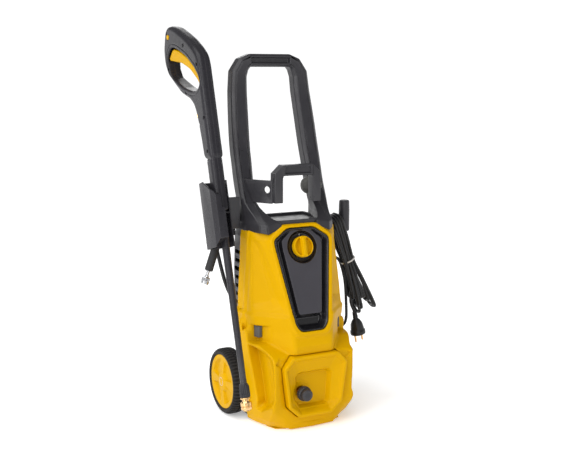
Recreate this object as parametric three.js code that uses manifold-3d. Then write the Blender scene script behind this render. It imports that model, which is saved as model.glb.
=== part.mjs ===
// Upright electric pressure washer with its spray gun in the holster, its mains lead in a hank on the
// side hook and its high-pressure hose coiled on the rear hook.
// Millimetres, +Z up, the control panel faces -Y. The drawing origin is on the floor in the plane of
// symmetry; the last lines move the whole machine so that its origin is the middle of its footprint.
import * as THREE from 'three';
import { mergeVertices } from 'three/addons/utils/BufferGeometryUtils.js';
import Module from 'manifold-3d';

const wasm = await Module();
wasm.setup();

// ---------------------------------------------------------------- driving dimensions
const GAP = 0.3; // clearance kept between touching pieces
const WALL = 3; // moulded wall thickness

const HANDLE_TOP = 836; // floor to the top of the push handle
const HANDLE_BAR = 30; // height of the grip bar
const PARTING_Y = -15; // plane where the front and rear housings meet
const REAR_Y = 85; // back of the rear housing
const BODY_TOP = 455; // top edge of the front housing
const FRONT_Y = -131; // face of the lower front
const FOOT_Z = 444; // shoulders of the housings, under the feet of the push handle
const FOOT_INNER = 76; // the feet stand outside this distance from the middle

const PANEL_SLOPE = 0.28; // run back per unit of rise of the control panel
const PANEL_Z = 335; // height of the panel frame's origin
const PANEL_Y = -185 + PANEL_SLOPE * PANEL_Z;
const PANEL_TILT = Math.atan2(1, PANEL_SLOPE); // turn that lays a drawing plane on the panel
const KNOB_RISE = 74; // switch knob above the panel origin, along the panel
const KNOB_RADIUS = 24;

const NOZZLE_SEAT = new THREE.Vector3(76, -6, 535); // hole in the right wing that stores the nozzle
const NOZZLE_AIM = new THREE.Vector3(-0.85, 0.527, 0);

const WHEEL_RADIUS = 77.5;
const WHEEL_WIDTH = 40;
const WHEEL_Y = 51;
const WHEEL_X = 130; // middle plane of each wheel
const HUB_RADIUS = 63;
const AXLE_RADIUS = 6;

const CAP_X = -27; // outlet cap centre
const CAP_Z = 85;
const CAP_RADIUS = 16.5;

const GUN_X = -170; // plane of the spray gun
const GUN_TILT = THREE.MathUtils.degToRad(17); // the gun and lance lean back
const GUN_FOOT = new THREE.Vector3(GUN_X, -120.9, 80.5); // end of the lance, on its axis
const GUN_HALF = 17; // half the thickness of the gun shells
const BORE_T = -12; // lance axis in the gun's own frame
const BORE_RADIUS = 10.5;
const TRIGGER_PIVOT = [-16, 745];
const LEVER_HALF = 12.5; // half width of the trigger
const LOCK_AT = [130, 874];

const HOOK_X = 170; // post of the cable hook
const HOOK_Y = 30;
const HOOK_Z = 428; // its arm
const HOOK_RADIUS = 13;
const LEAD_RADIUS = 3.5;
const HOSE_RADIUS = 4.5;
const HOSE_COIL_Y = 112; // middle of the hose coil
const HOSE_COIL_Z = 285;
const HOSE_COIL_RADIUS = 84; // outside
const HOSE_COIL_CORE = 46; // inside
const HOSE_COIL_WIDTH = 38;

// ---------------------------------------------------------------- materials
const paint = (color, roughness, metalness = 0) => ({ color, roughness, metalness });
const YELLOW = paint(0xf0bc00, 0.35);
const BLACK = paint(0x3a3a3e, 0.5);
const GLOSS_BLACK = paint(0x28282c, 0.2);
const GREY = paint(0x55555a, 0.55);
const RUBBER = paint(0x1c1c1e, 0.8);
const BRASS = paint(0xc8963c, 0.3, 0.9);
const STEEL = paint(0xb8bcc0, 0.3, 0.95);
const ALUMINIUM = paint(0xc0c2c6, 0.45, 0.9);

// ---------------------------------------------------------------- shape helpers
const V3 = (x, y, z) => new THREE.Vector3(x, y, z);

function manifoldOf(geometry) {
  const bare = geometry.clone();
  bare.deleteAttribute('normal');
  bare.deleteAttribute('uv');
  const merged = mergeVertices(bare, 1e-3);
  return new wasm.Manifold(new wasm.Mesh({
    numProp: 3,
    vertProperties: new Float32Array(merged.attributes.position.array),
    triVerts: new Uint32Array(merged.index.array),
  }));
}

function geometryOf(manifold) {
  const mesh = manifold.getMesh();
  const geometry = new THREE.BufferGeometry();
  geometry.setAttribute('position', new THREE.BufferAttribute(new Float32Array(mesh.vertProperties), 3));
  geometry.setIndex(new THREE.BufferAttribute(new Uint32Array(mesh.triVerts), 1));
  return geometry;
}

const union = (...geometries) => geometryOf(geometries.map(manifoldOf).reduce((a, b) => a.add(b)));
const cut = (body, ...tools) => geometryOf(tools.map(manifoldOf).reduce((a, b) => a.subtract(b), manifoldOf(body)));
const moved = (geometry, x, y, z) => geometry.clone().translate(x, y, z);

function mirrored(geometry) {
  const copy = geometry.index ? geometry.toNonIndexed() : geometry.clone();
  const p = copy.attributes.position;
  for (let i = 0; i < p.count; i += 3) {
    const corners = [0, 2, 1].map((k) => [-p.getX(i + k), p.getY(i + k), p.getZ(i + k)]);
    corners.forEach((c, k) => p.setXYZ(i + k, ...c));
  }
  return copy;
}

// A box between two corners.
function block(x0, y0, z0, x1, y1, z1) {
  return new THREE.BoxGeometry(x1 - x0, y1 - y0, z1 - z0)
    .translate((x0 + x1) / 2, (y0 + y1) / 2, (z0 + z1) / 2);
}

// Turns a shape drawn about +Z so that it starts at a point and runs along a direction.
function along(geometry, start, direction) {
  const turn = new THREE.Quaternion().setFromUnitVectors(V3(0, 0, 1), direction.clone().normalize());
  return geometry.applyQuaternion(turn).translate(start.x, start.y, start.z);
}

function rod(start, end, radius, sides = 16) {
  const length = start.distanceTo(end);
  const drawn = new THREE.CylinderGeometry(radius, radius, length, sides)
    .rotateX(Math.PI / 2).translate(0, 0, length / 2);
  return along(drawn, start, end.clone().sub(start));
}

// A turned piece: pairs of (radius, distance along the axis).
function turned(pairs, start, direction, sides = 20) {
  const profile = pairs.map(([r, s]) => new THREE.Vector2(r, s));
  return along(new THREE.LatheGeometry(profile, sides).rotateX(Math.PI / 2), start, direction);
}

// A flat outline drawn in X and Y, pushed from z0 to z1.
function plate(points, z0, z1) {
  const shape = new THREE.Shape(points.map(([x, y]) => new THREE.Vector2(x, y)));
  return new THREE.ExtrudeGeometry(shape, { depth: z1 - z0, bevelEnabled: false }).translate(0, 0, z0);
}

// The same, drawn in Y and Z and pushed from x0 to x1.
function slab(points, x0, x1) {
  const turn = new THREE.Matrix4().makeBasis(V3(0, 1, 0), V3(0, 0, 1), V3(1, 0, 0));
  return plate(points, x0, x1).applyMatrix4(turn);
}

// Both halves of an outline that is given for x > 0, from the top down.
const symmetric = (half) => [...half, ...[...half].reverse().map(([x, y]) => [-x, y])];

const arc = (cx, cy, r, from, to, steps) => Array.from({ length: steps + 1 }, (_, i) => {
  const a = THREE.MathUtils.degToRad(from + ((to - from) * i) / steps);
  return [cx + r * Math.cos(a), cy + r * Math.sin(a)];
});

// A closed body through rings of points; every ring has the same count and turns the same way.
function loft(rings) {
  const n = rings[0].length;
  const positions = rings.flat().flatMap((p) => [p.x, p.y, p.z]);
  const index = [];
  for (let r = 0; r + 1 < rings.length; r++) {
    for (let i = 0; i < n; i++) {
      const j = (i + 1) % n;
      const [a, b, c, d] = [r * n + i, r * n + j, (r + 1) * n + j, (r + 1) * n + i];
      index.push(a, b, c, a, c, d);
    }
  }
  const last = (rings.length - 1) * n;
  for (let i = 1; i + 1 < n; i++) {
    index.push(0, i + 1, i, last, last + i, last + i + 1);
  }
  const geometry = new THREE.BufferGeometry();
  geometry.setAttribute('position', new THREE.Float32BufferAttribute(positions, 3));
  geometry.setIndex(index);
  return geometry;
}

// A loft through level rings whose outline is given for x > 0, from the back to the front.
const stacked = (levels) => loft(levels.map(([z, half]) => symmetric(half).map(([x, y]) => V3(x, y, z)).reverse()));

// A round bar along a smooth line through points.
function tube(points, radius, sides, steps) {
  const path = new THREE.CatmullRomCurve3(points.map((p) => V3(...p)), false, 'centripetal');
  const ring = arc(0, 0, radius, 0, 360, sides).slice(0, -1).map(([x, y]) => new THREE.Vector2(x, y));
  return new THREE.ExtrudeGeometry(new THREE.Shape(ring), { steps, extrudePath: path, bevelEnabled: false });
}

// ---------------------------------------------------------------- the machine
const machine = new THREE.Group();

function add(parent, name, geometry, look) {
  const flat = geometry.index ? geometry.toNonIndexed() : geometry;
  flat.computeVertexNormals();
  const mesh = new THREE.Mesh(flat, new THREE.MeshStandardMaterial(look));
  mesh.name = name;
  parent.add(mesh);
  return mesh;
}

function frameAt(parent, position, tilt = 0) {
  const group = new THREE.Group();
  group.position.copy(position);
  group.rotation.x = tilt;
  parent.add(group);
  return group;
}

const onPanel = V3(0, PANEL_Y, PANEL_Z);
const sides = [['left', -1], ['right', 1]];

// Everything a shell has to clear so that the wheels can turn.
const wheelWells = sides.map(([, s]) => rod(V3(s * 106, WHEEL_Y, WHEEL_RADIUS), V3(s * 160, WHEEL_Y, WHEEL_RADIUS),
  WHEEL_RADIUS + 4.5, 40));

// ---- housings
// Half outlines from the parting plane to the front: rear edge, shoulder, front corner.
const upperLevels = [
  [150, [[112, PARTING_Y], [106, -60], [48, FRONT_Y]]],
  [192, [[119, PARTING_Y], [112, -58], [48, FRONT_Y]]],
  [222, [[121, PARTING_Y], [115, -55], [50, -123]]],
  [260, [[121, PARTING_Y], [117, -50], [56, -112]]],
  [307, [[119, PARTING_Y], [115, -45], [62, -99]]],
  [400, [[113, PARTING_Y], [109, -33], [75, -73]]],
  [425, [[111, PARTING_Y], [107, -30], [77, -66]]],
  [BODY_TOP, [[107, PARTING_Y], [102, -25], [50, -57]]],
];
const skirtLevels = [
  [3, [[108, PARTING_Y], [102, -50], [88, -84], [57, -118]]],
  [22, [[111, PARTING_Y], [108, -56], [95, -106], [62, -124]]],
  [60, [[115, PARTING_Y], [112, -62], [98, -138], [82, FRONT_Y]]],
  [118, [[120, PARTING_Y], [115, -62], [98, -140], [84, FRONT_Y]]],
  [167, [[125, PARTING_Y], [119, -62], [96, -136], [82, FRONT_Y]]],
  [214, [[127, PARTING_Y], [121, -62], [92, -122], [76, -124]]],
];
const inset = (levels, by) => levels.map(([z, half]) => [z, half.map(([x, y], i) => (
  i === 0 ? [x - by, y + 10] : [x - by, y + by]))]);

function frontHousing() {
  const lip = slab([[-200, 168], [-10, 212], [-10, 300], [-200, 300]], -200, 200); // slanted top of the skirt
  const skirt = cut(stacked(skirtLevels), lip);
  const hollowLevels = inset(upperLevels, WALL);
  hollowLevels[hollowLevels.length - 1][0] = BODY_TOP - WALL;
  hollowLevels[0][0] = 120;
  const skirtHollow = inset(skirtLevels.slice(0, 5), WALL).map(([z, half]) => [z === 3 ? 6 : z - 2, half]);
  const outer = union(stacked(upperLevels), skirt);
  const pockets = sides.map(([, s]) => {
    const well = plate([[74, -128], [128, -128], [128, -46], [100, -46]], 196, 234);
    return s < 0 ? mirrored(well) : well;
  });
  const pocketed = cut(outer, ...pockets);
  const pocketWalls = sides.map(([, s]) => {
    const wall = plate([[71, -131], [131, -131], [131, -43], [97, -43]], 193, 237);
    return s < 0 ? mirrored(wall) : wall;
  });
  const hollow = cut(union(stacked(hollowLevels), stacked(skirtHollow)), ...pocketWalls);
  const panelSeat = plate(panelOutline(3), -9, 30).rotateX(PANEL_TILT).translate(...onPanel.toArray());
  const switchHole = rod(V3(0, 0, -30), V3(0, 0, 10), 17).translate(0, KNOB_RISE, 0)
    .rotateX(PANEL_TILT).translate(...onPanel.toArray());
  const outletHole = rod(V3(CAP_X, -160, CAP_Z), V3(CAP_X, -110, CAP_Z), 19);
  const shoulders = (by) => sides.map(([, s]) => {
    const step = block(FOOT_INNER - by, -100, FOOT_Z - by, 200, 0, 500);
    return s < 0 ? mirrored(step) : step;
  });
  const panelBoss = plate(panelOutline(8), -12, 30).rotateX(PANEL_TILT).translate(...onPanel.toArray());
  const inside = cut(hollow, panelBoss, ...shoulders(WALL));
  return cut(pocketed, inside, panelSeat, switchHole, outletHole, ...shoulders(0), ...wheelWells);
}

const rearLevels = [
  [6, [[80, REAR_Y - 8], [104, REAR_Y - 30], [106, PARTING_Y + GAP]]],
  [150, [[80, REAR_Y], [104, REAR_Y - 22], [106, PARTING_Y + GAP]]],
  [211, [[80, REAR_Y], [104, REAR_Y - 22], [108, PARTING_Y + GAP]]],
  [295, [[82, REAR_Y], [107, REAR_Y - 22], [112, PARTING_Y + GAP]]],
  [343, [[84, REAR_Y - 2], [109, REAR_Y - 24], [113, PARTING_Y + GAP]]],
  [425, [[84, REAR_Y - 5], [108, REAR_Y - 27], [110.5, PARTING_Y + GAP]]],
  [444, [[80, REAR_Y - 9], [105, REAR_Y - 31], [108, PARTING_Y + GAP]]],
];

function rearHousing() {
  const hollow = rearLevels.map(([z, half], i) => {
    const level = i === 0 ? z + WALL : (i === rearLevels.length - 1 ? z - WALL : z);
    return [level, half.map(([x, y], k) => [x - WALL, k === 2 ? y - 10 : y - WALL])];
  });
  const axleTunnel = rod(V3(-120, WHEEL_Y, WHEEL_RADIUS), V3(120, WHEEL_Y, WHEEL_RADIUS), AXLE_RADIUS + GAP);
  const vents = [];
  for (const [, s] of sides) {
    for (let i = 0; i < 7; i++) {
      const z = 262 + i * 20;
      vents.push(block(s < 0 ? -120 : 98, 2, z, s < 0 ? -98 : 120, 54, z + 8));
    }
  }
  const inletHole = rod(V3(45, 60, 130), V3(45, 110, 130), 15);
  const reliefHole = rod(V3(90, 35, 352), V3(130, 35, 352), 7);
  return cut(stacked(rearLevels), stacked(hollow), axleTunnel, inletHole, reliefHole, ...vents, ...wheelWells);
}

// Half outline of the control panel, in the panel's own plane: across, up the slope.
function panelOutline(grow = 0) {
  return symmetric([
    [34 + grow * 0.4, 118 + grow], [69 + grow, 93.4 + grow * 0.5], [69 + grow, 80],
    [41 + grow, -100], ...arc(29 + grow, -103 - grow, 12, 0, -90, 4).slice(1),
  ]);
}

function controlPanel() {
  const body = plate(panelOutline(), -8.5, 3);
  const face = symmetric([[29, 108], [60, 87], [60, 78], [33, -86], [28, -92]]);
  const dish = plate(face, 0, 10);
  const knobWell = rod(V3(0, KNOB_RISE, -5), V3(0, KNOB_RISE, 10), 35, 28);
  const shaftHole = rod(V3(0, KNOB_RISE, -12), V3(0, KNOB_RISE, 10), 9);
  return cut(body, dish, knobWell, shaftHole);
}

function switchKnob() {
  const disc = turned([[0, -4.4], [KNOB_RADIUS, -4.4], [KNOB_RADIUS, 4], [KNOB_RADIUS - 2.5, 6.5], [0, 6.5]],
    V3(0, 0, 0), V3(0, 0, 1), 28);
  const grip = block(-5, -KNOB_RADIUS + 3, 5, 5, KNOB_RADIUS - 3, 16);
  const stem = rod(V3(0, 0, -14), V3(0, 0, -4), 5, 20);
  return union(disc, grip, stem);
}

// Octagonal cover around the outlet, drawn in X and Z.
const octagon = (grow) => symmetric([
  [58 + grow * 0.6, 173 + grow], [81 + grow, 148 + grow * 0.5], [68 + grow, 57 - grow * 0.5],
    [41 + grow * 0.5, 32 - grow],
]);

function outletCover() {
  const stand = plate(octagon(0), 0.5, 10);
  const floor = plate(octagon(-13), 4, 12);
  const well = rod(V3(CAP_X, CAP_Z, 3), V3(CAP_X, CAP_Z, 14), 24, 32);
  const hole = rod(V3(CAP_X, CAP_Z, -2), V3(CAP_X, CAP_Z, 14), CAP_RADIUS + 1.5);
  return cut(stand, floor, well, hole).rotateX(Math.PI / 2).translate(0, FRONT_Y, 0);
}

// ---- handles
// One ring of a handle leg: a chamfered rectangle about a centre, across and deep, turned about Y.
function legRing(x, y, z, half, deep, turn) {
  const k = 0.38;
  const outline = [[1, -1 + k], [1, 1 - k], [1 - k, 1], [-1 + k, 1], [-1, 1 - k], [-1, -1 + k], [-1 + k,
    -1], [1 - k, -1]];
  return outline.map(([a, b]) => {
    const point = V3(a * half, b * deep, 0).applyAxisAngle(V3(0, 1, 0), turn);
    return point.add(V3(x, y, z));
  });
}

function mainHandle() {
  const barZ = HANDLE_TOP - HANDLE_BAR / 2;
  const stations = [ // x, y, z, half width, half depth, turn in degrees
    [94.5, -2, 457, 16, 36, 0], [94, 8, 470, 16.5, 30, 0], [92, 27, 500, 19, 22, 0], [91, 44, 545, 20, 20, 0],
    [90, 57, 590, 21, 19, 0], [89, 68, 626, 21.5, 18.5, 0], [86, 82, 689, 21.5, 18, -2],
    [82, 95, 750, 20.5, 18, -5], [78, 99, 790, 20, 18, -22], [66, 100, 811, 17, 18, -52],
    [46, 100, barZ, HANDLE_BAR / 2, 18, -86], [-0.5, 100, barZ, HANDLE_BAR / 2, 18, -90],
  ];
  const half = loft(stations.map(([x, y, z, across, deep, turn]) => (
    legRing(x, y, z, across, deep, THREE.MathUtils.degToRad(turn)))));
  return union(half, mirrored(half), handleFoot(), mirrored(handleFoot()));
}

// Skirts of the handle that wrap the top corners of the two housings.
function handleFoot() {
  const outline = [[78, -54], [92, -46], [111, -10], [118, 34], [112, 46], [78, 46]];
  return loft([FOOT_Z + GAP, FOOT_Z + 15].map((z) => outline.map(([x, y]) => V3(x, y, z))));
}

function carryHandle() {
  const grip = slab([[-53, 566], [-29, 566], [-29, 590], [-53, 590]], -38, 38);
  const legs = sides.map(([, s]) => block(s < 0 ? -58 : 38, -52, 505, s < 0 ? -38 : 58, -28, 572));
  const corners = sides.map(([, s]) => {
    const brace = plate([[36, 566], [38, 590], [58, 571], [58, 560], [38, 560]], 28, 52).rotateX(Math.PI / 2);
    return s < 0 ? mirrored(brace) : brace;
  });
  const wings = sides.map(([, s]) => {
    const wing = plate([[55, -34], [59, -38], [104, 36], [99, 39]], 503, 555);
    const nozzleHole = rod(NOZZLE_SEAT.clone().addScaledVector(NOZZLE_AIM, -8),
      NOZZLE_SEAT.clone().addScaledVector(NOZZLE_AIM, 8), 7.4, 18);
    const slot = rod(V3(55, -20, 534), V3(85, -34, 534), 8);
    return s < 0 ? mirrored(cut(wing, slot)) : cut(wing, slot, nozzleHole);
  });
  return union(grip, ...legs, ...corners, ...wings);
}

function topCover() {
  const rim = symmetric([[74, 62], [77.5, 20], [77.5, -36], [46, -52]]);
  const tray = symmetric([[68, 56], [72, 18], [72, -32], [44, -46]]);
  const lid = plate(rim, BODY_TOP + GAP, 466);
  const dish = plate(tray, 460, 470);
  return cut(lid, dish);
}

// ---- wheels
function tyre() {
  const [r, w] = [WHEEL_RADIUS, WHEEL_WIDTH / 2];
  const section = [[HUB_RADIUS + 0.4, -w + 6], [r - 6, -w + 1], [r - 1.5, -w + 4], [r, -w + 9],
    [r, w - 9], [r - 1.5, w - 4], [r - 6, w - 1], [HUB_RADIUS + 0.4, w - 6]];
  return turned([...section, section[0]], V3(0, 0, 0), V3(1, 0, 0), 36);
}

function hub() {
  const [r, w] = [HUB_RADIUS, WHEEL_WIDTH / 2];
  const body = turned([[AXLE_RADIUS + 0.4, -w + 4], [14, -w + 4], [16, -w + 8], [r - 8, -w + 8], [r - 4, -w + 4],
    [r, -w + 6.5], [r, w - 6.5], [r - 4, w - 4], [r - 8, w - 10], [18, w - 10], [16, w + 0.5],
      [AXLE_RADIUS + 0.4, w + 0.5],
    [AXLE_RADIUS + 0.4, -w + 4]], V3(0, 0, 0), V3(1, 0, 0), 28);
  const pockets = [];
  for (let i = 0; i < 4; i++) {
    const window = slab([...arc(0, 0, 52, 24, 66, 5), ...arc(0, 0, 25, 60, 30, 3)], -w + 3, 0)
      .rotateX(THREE.MathUtils.degToRad(45 + 90 * i));
    pockets.push(window);
  }
  return cut(body, ...pockets);
}

// ---- spray gun, drawn in its own frame: x across, y towards the grip, z up the lance
const gripOuter = [
  [-31, 540], [-31, 754], [-26, 772], [17, 810], [74, 854], [109, 884], [128, 892], [141, 890],
  [153, 878], [169, 852], [171, 821], [162, 791], [125, 755], [96, 730], [44, 700], [20, 676],
  [12, 655], [8, 632], [5, 590], [4, 546],
];
const gripOpening = [
  [-20, 714], [-16, 732], [3, 759], [41, 796], [88, 828], [122, 844], [149, 829], [155, 804],
  [144, 779], [114, 758], [73, 731], [28, 710], [0, 704],
];
const triggerOutline = [
  [-22, 717], [-17, 731], [3, 757], [41, 793], [88, 825], [122, 840], [148, 826], [149, 820],
  [79, 792], [35, 764], [-3, 731], [-14, 715],
];
const leverPocket = [
  [-27, 706], [-27, 757], [16, 797], [68, 839], [105, 865], [144, 868], [157, 846], [153, 818],
  [68, 773], [-12, 706],
];

function gunShell(s) {
  const outer = union(
    cut(slab(gripOuter, GAP / 2, GUN_HALF), slab(gripOpening, -1, GUN_HALF + 1)),
    slab([[-28, 425], [-28, 541], [1, 547], [1, 425]], GAP / 2, GUN_HALF - 2.5),
  );
  const bore = rod(V3(0, BORE_T, 420), V3(0, BORE_T, 706), BORE_RADIUS, 18);
  const inletHole = rod(V3(0, BORE_T, 655), V3(0, 30, 655), 9);
  const pinHole = rod(V3(-15.5, ...TRIGGER_PIVOT), V3(15.5, ...TRIGGER_PIVOT), 2.8, 16);
  const lockHole = rod(V3(-30, ...LOCK_AT), V3(30, ...LOCK_AT), 5.9, 16);
  const shell = cut(outer, bore, slab(leverPocket, -1, LEVER_HALF + 1), inletHole, pinHole, lockHole);
  return s < 0 ? mirrored(shell) : shell;
}

function trigger() {
  const lever = slab(triggerOutline, -LEVER_HALF, LEVER_HALF);
  const boss = rod(V3(-8.5, ...TRIGGER_PIVOT), V3(8.5, ...TRIGGER_PIVOT), 7, 16);
  const arm = slab([[-20, 728], [-22, 745], [-12, 751], [6, 760], [-2, 740]], -8.5, 8.5);
  const hole = rod(V3(-20, ...TRIGGER_PIVOT), V3(20, ...TRIGGER_PIVOT), 2.8, 16);
  return cut(union(lever, boss, arm), hole);
}

// Open-sided holster, drawn in the gun's frame: plan of its walls, then its slanted mouth and its floor.
function gunHolder() {
  const [low, floor, high] = [345, 420, 495];
  const walls = plate([[-31, 22], [-31, -34], [-26, -50], [-6, -50], [-6, -47], [-24.5, -47], [-28, -33], [-28, 19],
    [20, 19], [20, -12], [23, -12], [23, 22]], low, high);
  const mouth = slab([[-60, 440], [-44, 466], [0, high - 2], [0, 520], [-60, 520]], -40, -10);
  const frontMouth = slab([[-60, 428], [-40, 428], [-40, 520], [-60, 520]], -13, 0);
  const toe = slab([[-60, 340], [-60, 372], [-30, low - 1]], -40, 0);
  const shelf = plate([[-29, 20], [-29, -33], [-25, -48], [-12, -48], [-10, -12], ...arc(0, BORE_T, 10,
    180, 0, 8).slice(1),
    [21, -12], [21, 20]], floor, floor + 4);
  return cut(union(walls, shelf), mouth, frontMouth, toe);
}

// ---------------------------------------------------------------- fixed machine
const panel = frameAt(machine, V3(0, PANEL_Y, PANEL_Z), PANEL_TILT);
const knobFrame = frameAt(panel, V3(0, KNOB_RISE, 0));

add(machine, 'front_housing', frontHousing(), YELLOW);
add(machine, 'rear_housing', rearHousing(), BLACK);
add(machine, 'top_cover', topCover(), BLACK);
add(machine, 'outlet_cover', outletCover(), YELLOW);
add(panel, 'control_panel', controlPanel(), GLOSS_BLACK);
add(knobFrame, 'switch_knob', switchKnob(), YELLOW);
add(machine, 'main_handle', mainHandle(), BLACK);
add(machine, 'carry_handle', cut(carryHandle(), ...legClearance()), BLACK);
for (const [side, s] of sides) {
  const insert = plate([[96, -62], [104, -62], [110, -47], [101, -47]], 206, 233);
  add(machine, `pocket_insert_${side}`, s < 0 ? mirrored(insert) : insert, GREY);
  const pad = plate([[60, -108], [82, -100], [92, -72], [60, -72]], 0, 3 - GAP);
  add(machine, `foot_${side}`, s < 0 ? mirrored(pad) : pad, YELLOW);
}

// The carry handle keeps clear of the legs that it is screwed to.
function legClearance() {
  const leg = mainHandle();
  return [leg, moved(leg, 0, -GAP, 0)];
}

// ---- drive unit, one upright axis
const DRIVE_Y = 5;
const driveAxis = (z) => V3(0, DRIVE_Y, z);
const UP = V3(0, 0, 1);
const MOTOR_RADIUS = 52;
const PUMP_RADIUS = 48;
const PISTON_RADIUS = 6.7;
const PISTON_RING = 24; // distance of the pistons from the shaft
const SWASH_TILT = THREE.MathUtils.degToRad(11);

function motorBody() {
  const stator = turned([[6, 206], [PUMP_RADIUS, 206], [PUMP_RADIUS, 214], [MOTOR_RADIUS, 218], [MOTOR_RADIUS, 340],
    [30, 352], [6, 352], [6, 206]], driveAxis(0), UP, 24);
  const slots = Array.from({ length: 10 }, (_, i) => block(MOTOR_RADIUS - 4, -3, 232, MOTOR_RADIUS + 4, 3, 328)
    .rotateZ((i * Math.PI) / 5).translate(0, DRIVE_Y, 0));
  return cut(stator, ...slots);
}

function coolingFan() {
  const ring = turned([[5.5, 357], [14, 357], [14, 362], [44, 362], [44, 364.5], [14, 364.5], [14, 372], [5.5, 372],
    [5.5, 357]], driveAxis(0), UP, 20);
  const blades = Array.from({ length: 9 }, (_, i) => block(12, -1, 363, 42, 1, 371)
    .rotateZ((i * 2 * Math.PI) / 9).translate(0, DRIVE_Y, 0));
  return union(ring, ...blades);
}

function pumpBody() {
  const body = turned([[0, 90], [PUMP_RADIUS, 90], [PUMP_RADIUS, 205.7], [0, 205.7]], driveAxis(0), UP, 24);
  const chamber = turned([[0, 152], [40, 152], [40, 210], [0, 210]], driveAxis(0), UP, 20);
  const bores = pistonPlaces.map(([x, y]) => rod(V3(x, y, 104), V3(x, y, 160), PISTON_RADIUS + GAP, 20));
  return cut(body, chamber, ...bores);
}

const pistonPlaces = [90, 210, 330].map((a) => {
  const t = THREE.MathUtils.degToRad(a);
  return [PISTON_RING * Math.cos(t), DRIVE_Y + PISTON_RING * Math.sin(t)];
});

function swashPlate() {
  const disc = rod(V3(0, 0, -4), V3(0, 0, 4), 33, 24).rotateX(SWASH_TILT).translate(0, DRIVE_Y, 181);
  const sleeve = rod(driveAxis(178), driveAxis(196), 10, 16);
  return cut(union(disc, sleeve), rod(driveAxis(150), driveAxis(210), 5.3, 16));
}

function pumpHead() {
  const head = plate([[-44, -34], [44, -34], [44, 38], [-44, 38]], 60, 90 - GAP);
  const boss = block(-54, -62, 74, -26, -35 + 0.5, 108);
  const neck = block(-54, -40, 74, -26, -30, 89);
  const outlet = rod(V3(CAP_X, -70, CAP_Z), V3(CAP_X, -45, CAP_Z), 6);
  return cut(union(head, neck, cut(boss, rod(driveAxis(60), driveAxis(220), PUMP_RADIUS + 0.5, 24))), outlet);
}

function outletFitting() {
  return turned([[0, 0], [10, 0], [10, 10], [7.5, 12], [7.5, 60], [10, 62], [10, 76], [5, 76], [5, 66], [0, 66]],
    V3(CAP_X, -62 - GAP, CAP_Z), V3(0, -1, 0), 16);
}

function outletCap() {
  const end = FRONT_Y + 3; // back of the cap, sunk behind the floor of the cover
  const cap = turned([[0, 0], [CAP_RADIUS, 0], [CAP_RADIUS, 8], [CAP_RADIUS - 3, 11], [13, 12], [12.5, 20],
    [11.5, 22],
    [0, 22]], V3(CAP_X, end, CAP_Z), V3(0, -1, 0), 20);
  return cut(cap, rod(V3(CAP_X, end + 2, CAP_Z), V3(CAP_X, end - 11, CAP_Z), 10 + GAP, 20));
}

function waterInlet() {
  return turned([[0, 0], [13, 0], [13, 22], [17, 22], [17, 27], [13, 27], [13, 46], [9, 46], [9, 30], [0, 30]],
    V3(45, 64, 130), V3(0, 1, 0), 20);
}

add(machine, 'motor_body', motorBody(), ALUMINIUM);
add(machine, 'motor_shaft', rod(driveAxis(176), driveAxis(376), 5, 16), STEEL);
add(machine, 'cooling_fan', coolingFan(), GREY);
add(machine, 'pump_body', pumpBody(), ALUMINIUM);
add(machine, 'swash_plate', swashPlate(), STEEL);
pistonPlaces.forEach(([x, y], i) => {
  add(machine, `piston_${i + 1}`, turned([[0, 0], [PISTON_RADIUS, 0], [PISTON_RADIUS, 56], [4, 60], [0, 60.5]],
    V3(x, y, 106), UP, 20), STEEL);
});
add(machine, 'pump_head', pumpHead(), BRASS);
add(machine, 'outlet_fitting', outletFitting(), BRASS);
add(machine, 'outlet_cap', outletCap(), BLACK);
add(machine, 'water_inlet', waterInlet(), BRASS);
add(knobFrame, 'power_switch', block(-18, -18, -46, 18, 18, -14.5), BLACK);
add(machine, 'spray_nozzle', turned([[0, -9], [7, -9], [7, 14], [20, 14], [20, 22], [18.5, 29], [14, 35.5],
  [7, 39.5],
  [0, 40.5]], NOZZLE_SEAT, NOZZLE_AIM, 24), GREY);

// ---- wheels
for (const [side, s] of sides) {
  const place = frameAt(machine, V3(s * WHEEL_X, WHEEL_Y, WHEEL_RADIUS));
  const facing = (geometry) => (s < 0 ? geometry : mirrored(geometry));
  add(place, `wheel_hub_${side}`, facing(hub()), YELLOW);
  add(place, `tyre_${side}`, facing(tyre()), RUBBER);
}
add(machine, 'axle', union(
  rod(V3(-149, WHEEL_Y, WHEEL_RADIUS), V3(149, WHEEL_Y, WHEEL_RADIUS), AXLE_RADIUS, 16),
  ...sides.map(([, s]) => rod(V3(s * 146.6, WHEEL_Y, WHEEL_RADIUS), V3(s * 149, WHEEL_Y, WHEEL_RADIUS), 10, 16)),
), STEEL);

// ---- spray gun and lance
const gun = frameAt(machine, GUN_FOOT, -GUN_TILT);
const onBore = (s) => V3(0, BORE_T, s);
for (const [side, s] of sides) {
  add(gun, `gun_shell_${side}`, gunShell(s), BLACK);
}
add(gun, 'trigger', trigger(), YELLOW);
add(gun, 'trigger_pin', rod(V3(-15, ...TRIGGER_PIVOT), V3(15, ...TRIGGER_PIVOT), 2.5, 16), STEEL);
add(gun, 'trigger_lock', rod(V3(-20, ...LOCK_AT), V3(16, ...LOCK_AT), 5.6, 16), YELLOW);
add(gun, 'gun_valve', cut(rod(onBore(556), onBore(700), 9.5, 18), rod(V3(0, BORE_T + 4, 655), V3(0, 10,
  655), 7.8, 16)),
  BRASS);
add(gun, 'gun_inlet', turned([[0, 0], [7.5, 0], [7.5, 12], [8.5, 12], [8.5, 34], [7, 37], [4, 37], [4, 14],
  [0, 14]],
  V3(0, BORE_T + 4 + GAP, 655), V3(0, 1, 0), 16), BRASS);
add(gun, 'lance_tube', turned([[0, 45], [7, 45], [8.8, 345], [8.8, 425], [8, 430], [8, 555], [0, 555]],
  onBore(0), UP, 16),
  BLACK);
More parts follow.
